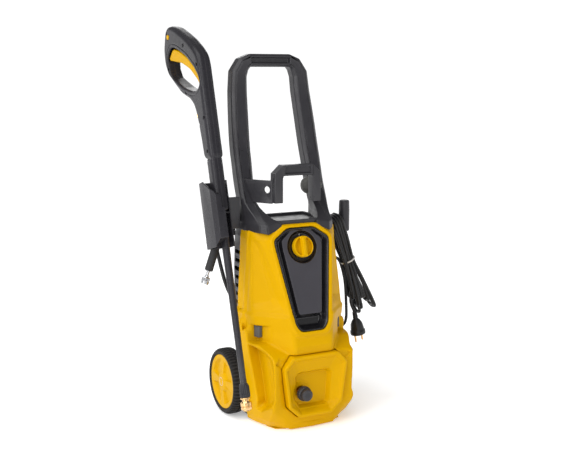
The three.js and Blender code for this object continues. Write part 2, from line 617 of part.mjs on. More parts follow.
add(gun, 'lance_collar', turned([[0, 14 + GAP], [9, 14 + GAP], [10.5, 17], [10.5, 40], [9, 44.6], [0,
  44.6]], onBore(0), UP,
  24), BLACK);
add(gun, 'quick_coupler', turned([[0, 14], [11, 14], [11, 11], [7.5, 11], [7.5, -15], [4.5, -15], [4.5, 0],
  [0, 0], [0, 14]]
  .reverse(), onBore(0), UP, 20), BRASS);
add(gun, 'coupler_sleeve', turned([[8, -12], [11, -12], [12.3, -10], [12.3, 3], [11, 6], [8, 6], [8, -12]],
  onBore(0), UP,
  28), BRASS);
add(gun, 'gun_holder', gunHolder(), BLACK);
add(machine, 'holder_bracket', union(block(-146.5, 4, 446, -118.5, 10, 518), block(-122.5, 4, 462, -118.5,
  28, 508)), BLACK);

// ---- hooks
add(machine, 'cable_hook', union(
  block(115, 10, 404, 121, 50, 440), rod(V3(116, HOOK_Y, HOOK_Z), V3(HOOK_X, HOOK_Y, HOOK_Z), 12, 18),
  rod(V3(HOOK_X, HOOK_Y, HOOK_Z - 12), V3(HOOK_X, HOOK_Y, 490), HOOK_RADIUS, 18),
), BLACK);
add(machine, 'hose_rest', union(
  block(-121, 44, 424, -112, 72, 443), rod(V3(-118, 58, 436), V3(-166, 58, 436), 7, 16),
  rod(V3(-166, 58, 436), V3(-169, 58, 436), 10, 16),
), BLACK);
add(machine, 'hose_hook', union(
  block(-16, REAR_Y + GAP, 310, 16, 137, 327.4), block(-16, 132, 310, 16, 137, 350),
  block(-24, REAR_Y + GAP, 305, 24, REAR_Y + 5, 352),
), BLACK);

// ---- mains lead: out of its relief, down and round behind the body, up into the hank, down to the plug
add(machine, 'strain_relief', turned([[0, 0], [6.7, 0], [6.7, 8], [9, 10], [9, 13], [6, 18], [5, 38], [0, 38]],
  V3(103.5, 35, 352), V3(1, 0, 0), 20), BLACK);
const leadRoute = [[142, 35, 352], [149, 35, 351], [156, 34.5, 347], [162, 34, 339], [167, 33, 325], [172, 31, 305],
  [176, 31, 280], [179, 32, 250], [181, 33, 222], [182, 34, 200], [181, 38, 184], [178, 47, 174], [174, 58, 174],
  [168, 68, 186], [164, 74, 206], [161, 77, 240], [159, 79, 290], [157, 80, 340], [155, 80, 385], [152, 77, 418],
  [150, 69, 436], [149, 62, 438], [149, 55.4, 438]];
add(machine, 'power_cord_lead', tube(leadRoute, LEAD_RADIUS, 8, 44), RUBBER);

const hankTop = [147, 440];
const hankFoot = [228, 227];
// The hank leans outwards and is drawn in by its tie half way down.
function hank() {
  const run = new THREE.Vector2(hankFoot[0] - hankTop[0], hankFoot[1] - hankTop[1]);
  const lean = THREE.MathUtils.radToDeg(run.angle());
  const side = (sign) => [[0.3, 17], [0.5, 15], [0.75, 19]].map(([f, half]) => {
    const normal = new THREE.Vector2(-run.y, run.x).normalize().multiplyScalar(half * sign);
    return [hankTop[0] + run.x * f + normal.x, hankTop[1] + run.y * f + normal.y];
  });
  const outline = [...arc(...hankTop, 21, lean + 90, lean + 270, 8), ...side(-1),
    ...arc(...hankFoot, 22, lean - 90, lean + 90, 8), ...side(1).reverse()];
  const body = plate(outline, -55, -5).rotateX(Math.PI / 2);
  const arm = rod(V3(100, HOOK_Y, HOOK_Z), V3(HOOK_X, HOOK_Y, HOOK_Z), 12.5, 16);
  const post = rod(V3(HOOK_X, HOOK_Y, HOOK_Z - 12.5), V3(HOOK_X, HOOK_Y, 500), HOOK_RADIUS + 0.5, 16);
  return cut(body, arm, post, block(100, 0, 380, 121.5, 60, 500));
}
add(machine, 'cord_hank', hank(), RUBBER);

const tailRoute = [[188.6, 25, 258], [188.2, 25, 248], [188.8, 25, 238], [191.5, 25, 228], [196, 25, 219],
  [199.4, 25, 211.9]];
add(machine, 'power_cord_tail', tube(tailRoute, LEAD_RADIUS, 8, 6), RUBBER);
const plugTop = V3(200, 25, 211);
const plugAim = V3(0.2, 0, -1);
const plug = new THREE.Group();
plug.position.copy(plugTop);
plug.quaternion.setFromUnitVectors(V3(0, 0, 1), plugAim.clone().normalize());
machine.add(plug);
add(plug, 'plug_body', turned([[0, 0], [5, 0], [6, 14], [13, 26], [16, 44], [18.5, 48], [18.5, 58], [0,
  58]], V3(0, 0, 0), UP, 20),
  RUBBER);
for (const [side, s] of sides) {
  add(plug, `plug_pin_${side}`, rod(V3(s * 9.5, 0, 58 + GAP), V3(s * 9.5, 0, 77), 2.4, 14), STEEL);
}

// ---- high-pressure hose: coil on the rear hook, free end over the rest, fittings on both ends
add(machine, 'hose_coil', turned([
  [HOSE_COIL_CORE, 0], [HOSE_COIL_RADIUS, 0], [HOSE_COIL_RADIUS, HOSE_COIL_WIDTH], [HOSE_COIL_CORE,
    HOSE_COIL_WIDTH],
  [HOSE_COIL_CORE, 0]], V3(0, HOSE_COIL_Y - HOSE_COIL_WIDTH / 2, HOSE_COIL_Z), V3(0, 1, 0), 24), RUBBER);
const hoseRoute = [[-58.5, 112, 216], [-66, 111, 224], [-80, 109, 242], [-94, 105, 262], [-107, 100, 284],
  [-118, 96, 310],
  [-128, 94, 345], [-138, 92, 385], [-145, 88, 418], [-149, 79, 440], [-152, 68, 447.5], [-155, 58, 448.5],
    [-158, 46, 446],
  [-161, 34, 437], [-164.4, 26, 423], [-167.6, 24, 411]];
add(machine, 'hose_tube', tube(hoseRoute, HOSE_RADIUS, 8, 30), RUBBER);
const endTop = V3(-168, 24, 410);
const endAim = V3(-0.335, 0, -0.942);
const hoseEnd = new THREE.Group();
hoseEnd.position.copy(endTop);
hoseEnd.quaternion.setFromUnitVectors(V3(0, 0, 1), endAim.clone().normalize());
machine.add(hoseEnd);
add(hoseEnd, 'hose_sleeve', turned([[0, 0], [7, 0], [9.5, 4], [9.5, 62], [0, 62]], V3(0, 0, 0), UP, 16), RUBBER);
add(hoseEnd, 'hose_nipple', rod(V3(0, 0, 62 + GAP), V3(0, 0, 76), 3.5, 18), STEEL);
add(hoseEnd, 'hose_nut', turned([[0, 76 + GAP], [9, 76 + GAP], [10, 78], [10, 91], [9, 93], [6, 93], [6,
  80], [0, 80]],
  V3(0, 0, 0), UP, 6), STEEL);
add(machine, 'hose_far_fitting', turned([[0, 0], [7, 0], [8, 4], [8, 32], [5, 32], [5, 36], [8, 36], [8,
  50], [0, 50]],
  V3(24, HOSE_COIL_Y, 298), V3(-1, 0, 0), 16), BRASS);

// The origin: on the floor, in the middle of the footprint of everything but the cords.
const onCords = /^(power_cord|cord_|plug_|hose_(coil|tube|sleeve|nipple|nut|far))/;
const footprint = new THREE.Box3();
machine.updateMatrixWorld(true);
machine.traverse((piece) => {
  if (piece.isMesh && !onCords.test(piece.name)) footprint.expandByObject(piece, true);
});
const middle = footprint.getCenter(V3(0, 0, 0));
machine.position.set(-middle.x, -middle.y, 0);

export default machine;
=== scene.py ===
"""An upright electric pressure washer with its gun, lead and hose stowed, as a Blender scene.

Drawings are in millimetres in the machine's own frame: x = 0 is its middle plane, the front
faces -y and the floor is z = 0. WORLD and the other matrices turn them into metres.
"""
import math
import bmesh
import bpy
import numpy as np
from mathutils import Matrix, Vector


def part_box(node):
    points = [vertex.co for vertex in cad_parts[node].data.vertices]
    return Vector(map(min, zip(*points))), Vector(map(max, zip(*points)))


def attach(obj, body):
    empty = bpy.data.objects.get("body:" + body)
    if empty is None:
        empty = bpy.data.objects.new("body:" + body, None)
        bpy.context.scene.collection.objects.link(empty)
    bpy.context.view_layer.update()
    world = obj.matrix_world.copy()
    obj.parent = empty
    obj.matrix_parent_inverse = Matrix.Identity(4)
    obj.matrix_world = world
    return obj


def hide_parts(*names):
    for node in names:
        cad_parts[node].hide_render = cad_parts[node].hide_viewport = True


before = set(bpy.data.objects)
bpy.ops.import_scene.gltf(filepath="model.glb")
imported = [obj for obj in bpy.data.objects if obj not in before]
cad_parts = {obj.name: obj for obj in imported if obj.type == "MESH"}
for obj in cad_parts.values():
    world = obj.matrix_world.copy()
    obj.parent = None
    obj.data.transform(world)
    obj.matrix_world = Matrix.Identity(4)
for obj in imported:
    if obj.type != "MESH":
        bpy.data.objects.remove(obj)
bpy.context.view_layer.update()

MM = 0.001
X, Y, Z = Vector((1, 0, 0)), Vector((0, 1, 0)), Vector((0, 0, 1))
SIDES = (("left", -1), ("right", 1))

# ---- places
AXLE_Y = 51
axle_low, axle_high = (Vector(corner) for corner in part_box("axle"))
ORIGIN = Vector(((axle_low.x + axle_high.x) / 2, (axle_low.y + axle_high.y) / 2 - AXLE_Y * MM, 0))
WORLD = Matrix.Translation(ORIGIN) @ Matrix.Scale(MM, 4)
FLIP = Matrix.Scale(-1, 4, X)
ACROSS = Matrix.Rotation(math.pi / 2, 4, "Y")  # turns a piece drawn along z so that it lies along x
PANEL_Y, PANEL_Z, PANEL_TILT = -91.2, 335, math.atan2(1, 0.28)
APRON_Y = -131
KNOB_RISE = 74  # the switch's height up the panel
CAP_X, CAP_Z, CAP_SUNK = -27, 85, 3
BORE_T = -12  # the lance's axis in the gun's frame
INLET_T, INLET_S = -7.7, 655
WHEEL_X, WHEEL_RADIUS, HUB_RADIUS = 130, 77.5, 63


def at(*place):
    return Matrix.Translation(place)


PANEL = WORLD @ at(0, PANEL_Y, PANEL_Z) @ Matrix.Rotation(PANEL_TILT, 4, "X")
APRON = WORLD @ at(0, APRON_Y, 0) @ Matrix.Rotation(math.pi / 2, 4, "X")
GUN = WORLD @ at(-170, -120.9, 80.5) @ Matrix.Rotation(-math.radians(17), 4, "X")


def facing(start, axis):
    """Frame with its z axis along a direction."""
    return WORLD @ at(*start) @ Z.rotation_difference(Vector(axis).normalized()).to_matrix().to_4x4()


# ---- camera, floor and light
AZIMUTH, ELEVATION, DISTANCE = math.radians(-27.28), math.radians(9.243), 2186
LOOK_AT, LENS, SENSOR = Vector((-18.2, 0, 441.2)), 60.96, 36
SUN_SPREAD, SUN_POWER, SUN_FROM = math.radians(70), 2.5, Vector((-0.56, -0.14, 0.80))
HORIZON, OVERHEAD = (0.08, 1.05), (0.30, 0.18)  # height in the sky, brightness there
FLOOR_RADIUS, FLOOR_GLOW = 30, 0.32
WHITE = (1, 1, 1, 1)
AREA_LIGHTS = {  # place and size in metres, power in watts
    "strip": ((-2.0, -1.2, 1.1), (0.5, 1.8), 14), "front": ((-0.7, -2.4, 1.3), (0.9, 1.2), 9),
    "rim": ((0.9, 2.2, 1.5), (1.4, 1.4), 10), "edge": ((2.0, -0.6, 1.0), (0.4, 1.6), 4),
}


def linked(name, data):
    """A new object for the data, in the scene."""
    obj = bpy.data.objects.new(name, data)
    bpy.context.collection.objects.link(obj)
    return obj


def filled(node, values):
    """The shader node with its inputs set."""
    for name, value in values.items():
        node.inputs[name].default_value = value
    return node


def aimed(direction):
    """The turn that makes a camera or a light look against a direction."""
    return direction.to_track_quat("Z", "Y").to_euler()


def make_camera():
    back = Vector((math.sin(AZIMUTH) * math.cos(ELEVATION), -math.cos(AZIMUTH) * math.cos(ELEVATION),
                   math.sin(ELEVATION)))
    data = bpy.data.cameras.new("camera")
    data.lens, data.sensor_width = LENS, SENSOR
    camera = linked("camera", data)
    camera.location = WORLD @ (LOOK_AT + back * DISTANCE)
    camera.rotation_euler = aimed(back)
    bpy.context.scene.camera = camera


def area_light(name, place, size, power):
    data = bpy.data.lights.new(name, "AREA")
    data.shape = "RECTANGLE"
    data.size, data.size_y = size
    data.energy = power
    light = linked(name, data)
    light.location = place
    light.rotation_euler = aimed(Vector(place) - Vector((0, 0, 0.4)))


def make_studio():
    """A white room, bright near the horizon and darker overhead, with one wide light and four smaller ones."""
    world = bpy.data.worlds.new("studio")
    world.use_nodes = True
    nodes, links = world.node_tree.nodes, world.node_tree.links
    coords = nodes.new("ShaderNodeTexCoord")
    split = nodes.new("ShaderNodeSeparateXYZ")
    links.new(coords.outputs["Generated"], split.inputs["Vector"])
    brightness = ranged(nodes, links, split.outputs["Z"], *HORIZON, *OVERHEAD)
    links.new(brightness, filled(nodes["Background"], {"Color": WHITE}).inputs["Strength"])
    bpy.context.scene.world = world
    bpy.context.scene.view_settings.view_transform = "Standard"
    bpy.ops.object.light_add(type="SUN", location=(0.5, -1.5, 3))
    sun = bpy.context.object
    sun.name = "soft_sun"
    sun.data.energy = SUN_POWER
    sun.data.angle = SUN_SPREAD
    sun.rotation_euler = aimed(SUN_FROM)
    for name, light in AREA_LIGHTS.items():
        area_light(name, *light)
    bpy.ops.mesh.primitive_circle_add(vertices=96, radius=FLOOR_RADIUS, fill_type="NGON")
    floor = bpy.context.object
    floor.name = "floor"
    paint = plastic("floor_paint", (0.93, 0.93, 0.93), 0.7, grain=0.02, mottle=0.01)
    filled(paint.node_tree.nodes["Principled BSDF"], {"Emission Color": WHITE, "Emission Strength": FLOOR_GLOW})
    floor.data.materials.append(paint)


# ---- materials
MOTTLE_SCALE = 9
GRAIN_DEPTH = 0.4 * MM
WORN_EDGE = 0.52, 0.62  # pointiness where an edge starts to look worn, and where it is fully worn


def ranged(nodes, links, source, start, low, end, high):
    """The source brought from start..end to low..high."""
    node = filled(nodes.new("ShaderNodeMapRange"), {"From Min": start, "From Max": end, "To Min": low, "To Max": high})
    links.new(source, node.inputs["Value"])
    return node.outputs["Result"]


def plastic(name, colour, roughness, metallic=0.0, grain=0.1, grain_scale=900, mottle=0.06,
            spread=0.06, coat=0.0, stretch=(1, 1, 1), wear=0.0, specular=0.32):
    """A moulded, cast or turned surface: fine relief, uneven gloss, slow colour drift and worn edges."""
    material = bpy.data.materials.new(name)
    material.use_nodes = True
    nodes, links = material.node_tree.nodes, material.node_tree.links
    shader = filled(nodes["Principled BSDF"], {"Metallic": metallic, "Coat Weight": coat, "Coat Roughness": 0.12,
                                               "Specular IOR Level": specular})
    coords = nodes.new("ShaderNodeTexCoord")
    mapping = filled(nodes.new("ShaderNodeMapping"), {"Scale": stretch})
    links.new(coords.outputs["Object"], mapping.inputs["Vector"])

    def noise(scale, detail):
        node = filled(nodes.new("ShaderNodeTexNoise"), {"Scale": scale, "Detail": detail})
        links.new(mapping.outputs["Vector"], node.inputs["Vector"])
        return node.outputs["Fac"]

    def span(source, low, high, start=0.3, end=0.7):
        return ranged(nodes, links, source, start, low, end, high)

    def blended(factor, first, second):
        node = nodes.new("ShaderNodeMix")
        node.data_type = "RGBA"
        links.new(factor, node.inputs["Factor"])
        for socket, value in ((node.inputs[6], first), (node.inputs[7], second)):
            if isinstance(value, tuple):
                socket.default_value = (*value, 1)
            else:
                links.new(value, socket)
        return node.outputs[2]

    broad = noise(MOTTLE_SCALE, 4)
    fine = noise(grain_scale, 3)
    dark = tuple(c * (1 - mottle) for c in colour)
    light = tuple(min(1, c * (1 + mottle)) for c in colour)
    shade = blended(span(broad, 0, 1), dark, light)
    if wear:
        edge = nodes.new("ShaderNodeNewGeometry").outputs["Pointiness"]
        worn = tuple(min(1, c + 0.12) for c in colour)
        shade = blended(span(edge, 0, wear, *WORN_EDGE), shade, worn)
    links.new(shade, shader.inputs["Base Color"])
    smudge = noise(MOTTLE_SCALE * 6, 5)
    links.new(span(smudge, roughness - spread, roughness + spread), shader.inputs["Roughness"])
    bump = filled(nodes.new("ShaderNodeBump"), {"Strength": grain, "Distance": GRAIN_DEPTH})
    links.new(fine, bump.inputs["Height"])
    links.new(bump.outputs["Normal"], shader.inputs["Normal"])
    return material


LOOKS = {
    "yellow": plastic("yellow_gloss", (0.605, 0.33, 0.0), 0.36, specular=0.05, grain=0.05, grain_scale=420,
                      mottle=0.03, spread=0.05, coat=0.02),
    "black": plastic("black_grained", (0.026, 0.025, 0.029), 0.34, specular=0.34, grain=0.3, grain_scale=1100,
                     mottle=0.12, spread=0.07, wear=0.25),
    "gun_black": plastic("gun_satin", (0.022, 0.021, 0.025), 0.29, specular=0.24, grain=0.16, grain_scale=1300,
                         mottle=0.12, wear=0.2),
    "gloss": plastic("fascia_gloss", (0.008, 0.0075, 0.009), 0.14, grain=0.02, mottle=0.1, spread=0.04, coat=0.5),
    "face": plastic("fascia_satin", (0.044, 0.042, 0.050), 0.40, grain=0.18, grain_scale=1500, mottle=0.08),
    "grey": plastic("grey_matte", (0.085, 0.083, 0.078), 0.55, grain=0.3, mottle=0.1),
    "rubber": plastic("rubber_matte", (0.016, 0.016, 0.017), 0.62, grain=0.3, mottle=0.15, wear=0.2),
    "cord": plastic("cord_sheath", (0.012, 0.012, 0.013), 0.36, grain=0.12, grain_scale=700, mottle=0.15),
    "hose": plastic("hose_sheath", (0.016, 0.016, 0.017), 0.45, grain=0.4, grain_scale=500, mottle=0.15),
    "tyre": plastic("tyre_rubber", (0.014, 0.013, 0.013), 0.66, specular=0.15, grain=0.5, grain_scale=650,
                    mottle=0.2, wear=0.3),
    "steel": plastic("turned_steel", (0.55, 0.56, 0.58), 0.26, metallic=1.0, grain=0.08, grain_scale=300,
                     mottle=0.08, stretch=(1, 1, 9)),
    "aluminium": plastic("cast_aluminium", (0.60, 0.61, 0.62), 0.45, metallic=1.0, grain=0.5, mottle=0.1),
    "brass": plastic("turned_brass", (0.80, 0.52, 0.24), 0.20, metallic=1.0, grain=0.06, grain_scale=400,
                     mottle=0.12, stretch=(1, 1, 7)),
    "tie": plastic("paper_tie", (0.60, 0.58, 0.55), 0.6, grain=0.3, mottle=0.1),
    "pit": plastic("screw_pit", (0.006, 0.006, 0.006), 0.6, grain=0.2, mottle=0.1),
}


# ---- drawing
def symmetric(half):
    """Both halves of an outline given for x > 0, from the top down."""
    return [*half, *((-x, y) for x, y in reversed(half))]


def rounded(points, radius):
    """The outline with each corner eased over a length, in five points."""
    result = []
    corners = [Vector(p) for p in points]
    for i, corner in enumerate(corners):
        before, after = corners[i - 1] - corner, corners[(i + 1) % len(corners)] - corner
        reach = min(radius, 0.48 * before.length, 0.48 * after.length)
        start, end = corner + before.normalized() * reach, corner + after.normalized() * reach
        for f in (0, 0.25, 0.5, 0.75, 1):
            result.append(tuple(start * (1 - f) ** 2 + corner * 2 * f * (1 - f) + end * f ** 2))
    return result


def loft(rings, closed=False):
    """A body through rings of points; every ring has the same count and turns the same way."""
    bm = bmesh.new()
    made = [[bm.verts.new(p) for p in ring] for ring in rings]
    pairs = list(zip(made, made[1:]))
    if closed:
        pairs.append((made[-1], made[0]))
    for first, second in pairs:
        for i in range(len(first)):
            j = (i + 1) % len(first)
            bm.faces.new((first[i], first[j], second[j], second[i]))
    if not closed:
        bm.faces.new(list(reversed(made[0])))
        bm.faces.new(made[-1])
    bmesh.ops.recalc_face_normals(bm, faces=bm.faces)
    return bm


def prism(outline, low, high):
    return loft([[(x, y, z) for x, y in outline] for z in (low, high)])


def lathe(profile, segments=64, bulge=None):
    """A turned body: pairs of radius and height about z; bulge(angle, radius, height) moves the radius."""
    rings = []
    for radius, height in profile:
        ring = []
        for i in range(segments):
            a = math.tau * i / segments
            r = max(radius, 0.001) + (bulge(a, radius, height) if bulge and radius > 0.01 else 0)
            ring.append((r * math.cos(a), r * math.sin(a), height))
        rings.append(ring)
    return loft(rings, closed=profile[0] == profile[-1])


def rod(radius, low, high, segments=48, ease=0.8):
    return lathe([(0, low), (radius - ease, low), (radius, low + ease), (radius, high - ease),
                  (radius - ease, high), (0, high)], segments)


def box(low, high):
    return prism([(low[0], low[1]), (high[0], low[1]), (high[0], high[1]), (low[0], high[1])], low[2], high[2])


def shifted(bm, matrix):
    bm.transform(matrix)
    if matrix.determinant() < 0:
        bmesh.ops.reverse_faces(bm, faces=bm.faces)
    return bm


def joined(*parts):
    """Several bodies in one mesh."""
    result = bmesh.new()
    for part in parts:
        mesh = meshed("part", part)
        result.from_mesh(mesh)
        bpy.data.meshes.remove(mesh)
    return result


def tidy(bm, angle=1.0):
    """The body without doubled points and without edges between faces that lie almost flat."""
    bmesh.ops.remove_doubles(bm, verts=bm.verts, dist=0.05)
    bmesh.ops.dissolve_limit(bm, angle_limit=math.radians(angle), verts=bm.verts, edges=bm.edges)
    return bm


def meshed(name, bm):
    """The drawn shape as mesh data."""
    mesh = bpy.data.meshes.new(name)
    bm.to_mesh(mesh)
    bm.free()
    return mesh


def boolean(body, tools, operation):
    holder, *cutters = [linked("scratch", meshed("scratch", bm)) for bm in (body, *tools)]
    for cutter in cutters:
        step = holder.modifiers.new("step", "BOOLEAN")
        step.operation = operation
        step.solver = "EXACT"
        step.object = cutter
    mesh = bpy.data.meshes.new_from_object(holder.evaluated_get(bpy.context.evaluated_depsgraph_get()))
    result = bmesh.new()
    result.from_mesh(mesh)
    bpy.data.meshes.remove(mesh)
    for obj in (holder, *cutters):
        data = obj.data
        bpy.data.objects.remove(obj)
        bpy.data.meshes.remove(data)
    return tidy(result, 0.5)


def cut(body, *tools):
    return boolean(body, tools, "DIFFERENCE")


def fused(body, *tools):
    return boolean(body, tools, "UNION")


def from_node(node):
    """The CAD node's shape in millimetres."""
    bm = bmesh.new()
    bm.from_mesh(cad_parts[node].data)
    bm.transform(WORLD.inverted())
    return tidy(bm)


def declared(obj, look, body, replaces):
    """Gives an object its finish, parents it to the body that it moves with and hides the CAD nodes that it stands
    for.
    """
    obj.data.materials.append(LOOKS[look])
    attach(obj, body)
    if replaces:
        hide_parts(*replaces)
    return obj


def piece(name, bm, place, look, body="machine", replaces=(), bevel=0.0, steps=3, angle=30):
    """A drawn shape with eased edges, or with sharp ones from an angle on."""
    mesh = meshed(name, shifted(bm, place))
    mesh.polygons.foreach_set("use_smooth", [True] * len(mesh.polygons))
    obj = linked(name, mesh)
    if bevel:
        edges = obj.modifiers.new("edges", "BEVEL")
        edges.width = bevel * MM
        edges.segments = steps
        edges.limit_method = "ANGLE"
        edges.angle_limit = math.radians(angle)
        edges.harden_normals = True
        edges.use_clamp_overlap = False
    else:
        mesh.set_sharp_from_angle(angle=math.radians(angle))
    return declared(obj, look, body, replaces)


def refined(node, look, bevel, angle=14, name=None):
    """The CAD node's shape with eased edges."""
    piece(name or f"{node}_fine", from_node(node), WORLD, look, replaces=(node,), bevel=bevel, angle=angle)


def turned(name, profile, place, look, body="machine", node=None, segments=40, bulge=None, angle=30):
    """A turned piece that stands for one CAD node."""
    return piece(name, lathe(profile, segments, bulge), place, look, body, (node,), angle=angle)


def flutes(depth, count, low, high, inner=0):
    """Grooves along a turned piece between two heights, outside a radius."""
    return lambda a, r, h: depth * math.cos(count * a) if low < h < high and r > inner else 0


# ---- moulded shapes as distance fields
def merge(a, b, ease):
    """Joins two fields with a fillet."""
    h = np.clip(0.5 + 0.5 * (b - a) / ease, 0, 1)
    return b * (1 - h) + a * h - ease * h * (1 - h)


def within(a, b, ease):
    """What two fields share, with an eased edge."""
    return -merge(-a, -b, ease)


def without(a, b, ease):
    """The first field less the second, with an eased edge."""
    return -merge(-a, b, ease)


def outlined(px, py, points):
    """Distance to a closed outline, negative inside."""
    best = np.full(np.broadcast(px, py).shape, 1e9, np.float32)
    inside = np.zeros(best.shape, bool)
    for (ax, ay), (bx, by) in zip(points, points[1:] + points[:1]):
        ex, ey = bx - ax, by - ay
        wx, wy = px - ax, py - ay
        f = np.clip((wx * ex + wy * ey) / (ex * ex + ey * ey), 0, 1)
        best = np.minimum(best, (wx - ex * f) ** 2 + (wy - ey * f) ** 2)
        crosses = (py >= min(ay, by)) & (py < max(ay, by))
        inside ^= crosses & ((wx * ey < wy * ex) if ey > 0 else (wx * ey > wy * ex))
    return np.where(inside, -1, 1) * np.sqrt(best)


def convex(px, py, points, ease):
    """An outline with eased corners; it runs anticlockwise."""
    result = None
    for (ax, ay), (bx, by) in zip(points, points[1:] + points[:1]):
        ex, ey = bx - ax, by - ay
        side = ((px - ax) * ey - (py - ay) * ex) / np.maximum(np.hypot(ex, ey), 1e-6)
        result = side if result is None else within(result, side, ease)
    return result


def less(body, *cuts):
    """The first field less the others, with sharp edges."""
    for field in cuts:
        body = np.maximum(body, -field)
    return body


def pushed(flat, height, half, radius):
    """An outline field pushed half each way, its edges rounded."""
    a, b = flat + radius, np.abs(height) - half + radius
    return np.minimum(np.maximum(a, b), 0) + np.hypot(np.maximum(a, 0), np.maximum(b, 0)) - radius


def surface_net(field, low, step):
    """One vertex in each cell that the surface crosses, and one face for each edge that it crosses."""
    inside = field < 0
    corners = [(i, j, k) for i in (0, 1) for j in (0, 1) for k in (0, 1)]
    nx, ny, nz = (n - 1 for n in field.shape)
    count = sum(inside[i:i + nx, j:j + ny, k:k + nz].astype(np.int8) for i, j, k in corners)
    cells = np.argwhere((count > 0) & (count < 8))
    total, hits = np.zeros((len(cells), 3)), np.zeros(len(cells))
    for a in corners:
        for axis in range(3):
            if a[axis]:
                continue
            b = tuple(c + (n == axis) for n, c in enumerate(a))
            va, vb = (field[tuple((cells + c).T)] for c in (a, b))
            crossed = (va < 0) != (vb < 0)
            f = np.where(crossed, va / np.where(va == vb, 1, va - vb), 0)
            total += crossed[:, None] * (np.array(a) + f[:, None] * (np.array(b) - np.array(a)))
            hits += crossed
    points = cells + total / hits[:, None]
    slopes = np.gradient(field)

    def sample(grid, at_points):
        base = np.clip(np.floor(at_points).astype(int), 0, np.array(field.shape) - 2)
        part = at_points - base
        result = 0
        for c in corners:
            weight = np.prod(np.where(c, part, 1 - part), axis=1)
            result = result + weight * grid[tuple((base + c).T)]
        return result

    for _ in range(2):  # draws the points onto the surface
        normal = np.stack([sample(g, points) for g in slopes], axis=1)
        size = np.maximum(np.linalg.norm(normal, axis=1), 1e-3)
        move = np.clip(sample(field, points) / size ** 2, -0.35 / size, 0.35 / size)
        points = points - normal * move[:, None]
    normal = np.stack([sample(g, points) for g in slopes], axis=1)
    normal /= np.maximum(np.linalg.norm(normal, axis=1), 1e-6)[:, None]
    number = np.full((nx, ny, nz), -1)
    number[tuple(cells.T)] = np.arange(len(cells))
    faces = []
    for axis in range(3):
        first = inside[tuple(slice(0, -1) if n == axis else slice(1, -1) for n in range(3))]
        second = inside[tuple(slice(1, None) if n == axis else slice(1, -1) for n in range(3))]
        u, v = (axis + 1) % 3, (axis + 2) % 3
        for flipped in (False, True):
            where = np.argwhere((~first & second) if flipped else (first & ~second))
            for n in range(3):
                where[:, n] += n != axis
            quad = []
            for du, dv in ((-1, -1), (0, -1), (0, 0), (-1, 0)):
                cell = where.copy()
                cell[:, u] += du
                cell[:, v] += dv
                quad.append(number[tuple(cell.T)])
            faces.append(np.stack(quad[::-1] if flipped else quad, axis=1))
    return points * step + np.array(low), np.concatenate(faces), normal


def grid(low, high, step):
    """Open coordinate arrays through a box."""
    axes = [np.arange(a, b + step, step, dtype=np.float32) for a, b in zip(low, high)]
    return axes[0][:, None, None], axes[1][None, :, None], axes[2][None, None, :]


def halved(points, faces, normals):
    """The side of a net where x is positive, its rim drawn onto the parting plane."""
    faces = faces[(points[faces][:, :, 0] > 0).any(axis=1)]
    used, faces = np.unique(faces, return_inverse=True)
    points = points[used]
    points[:, 0] = np.maximum(points[:, 0], 0)
    return points, faces.reshape(-1, 4), normals[used]


def capped(mesh):
    """Closes the mesh's open rim in place."""
    bm = bmesh.new()
    bm.from_mesh(mesh)
    rim = [edge for edge in bm.edges if edge.is_boundary]
    bmesh.ops.triangle_fill(bm, use_beauty=False, use_dissolve=False, edges=rim)
    bm.to_mesh(mesh)
    bm.free()


def moulded(name, field, low, step, place, look, body="machine", replaces=(), half=False):
    """A piece from a distance field, shaded by the field's own slope."""
    points, faces, normals = surface_net(np.ascontiguousarray(field, dtype=np.float32), low, step)
    if half:
        points, faces, normals = halved(points, faces, normals)
    matrix = np.array(place)
    points = points @ matrix[:3, :3].T + matrix[:3, 3]
    normals = normals @ np.linalg.inv(matrix[:3, :3])
    normals /= np.linalg.norm(normals, axis=1)[:, None]
    if np.linalg.det(matrix[:3, :3]) < 0:
        faces = faces[:, ::-1]
    mesh = bpy.data.meshes.new(name)
    mesh.from_pydata(points.tolist(), [], faces.tolist())
    if half:
        capped(mesh)
    mesh.polygons.foreach_set("use_smooth", [True] * len(mesh.polygons))
    mesh.normals_split_custom_set_from_vertices(normals.tolist())
    return declared(linked(name, mesh), look, body, replaces)


# ---- cords
def spline_point(a, b, c, d, f):
    """Catmull-Rom point a part f of the way from b to c."""
    return 0.5 * (2 * b + (c - a) * f + (2 * a - 5 * b + 4 * c - d) * f ** 2 + (3 * b - a - 3 * c + d) * f ** 3)


def smooth_path(points, gap):
    """Catmull-Rom line through points, one step about every gap."""
    points = [Vector(p) for p in points]
    ends = [points[0] * 2 - points[1], *points, points[-1] * 2 - points[-2]]
    result = [points[0]]
    for a, b, c, d in zip(ends, ends[1:], ends[2:], ends[3:]):
        count = max(1, round((c - b).length / gap))
        for k in range(1, count + 1):
            f = k / count
            result.append(spline_point(a, b, c, d, f))
    return result


def cord_curve(name, points, radius, look, replaces):
    data = bpy.data.curves.new(name, "CURVE")
    data.dimensions = "3D"
    data.bevel_depth = radius * MM
    data.bevel_resolution = 4
    data.use_fill_caps = True
    spline = data.splines.new("POLY")
    spline.points.add(len(points) - 1)
    for point, place in zip(spline.points, points):
        point.co = (*(WORLD @ place), 1)
    return declared(linked(name, data), look, "machine", replaces)


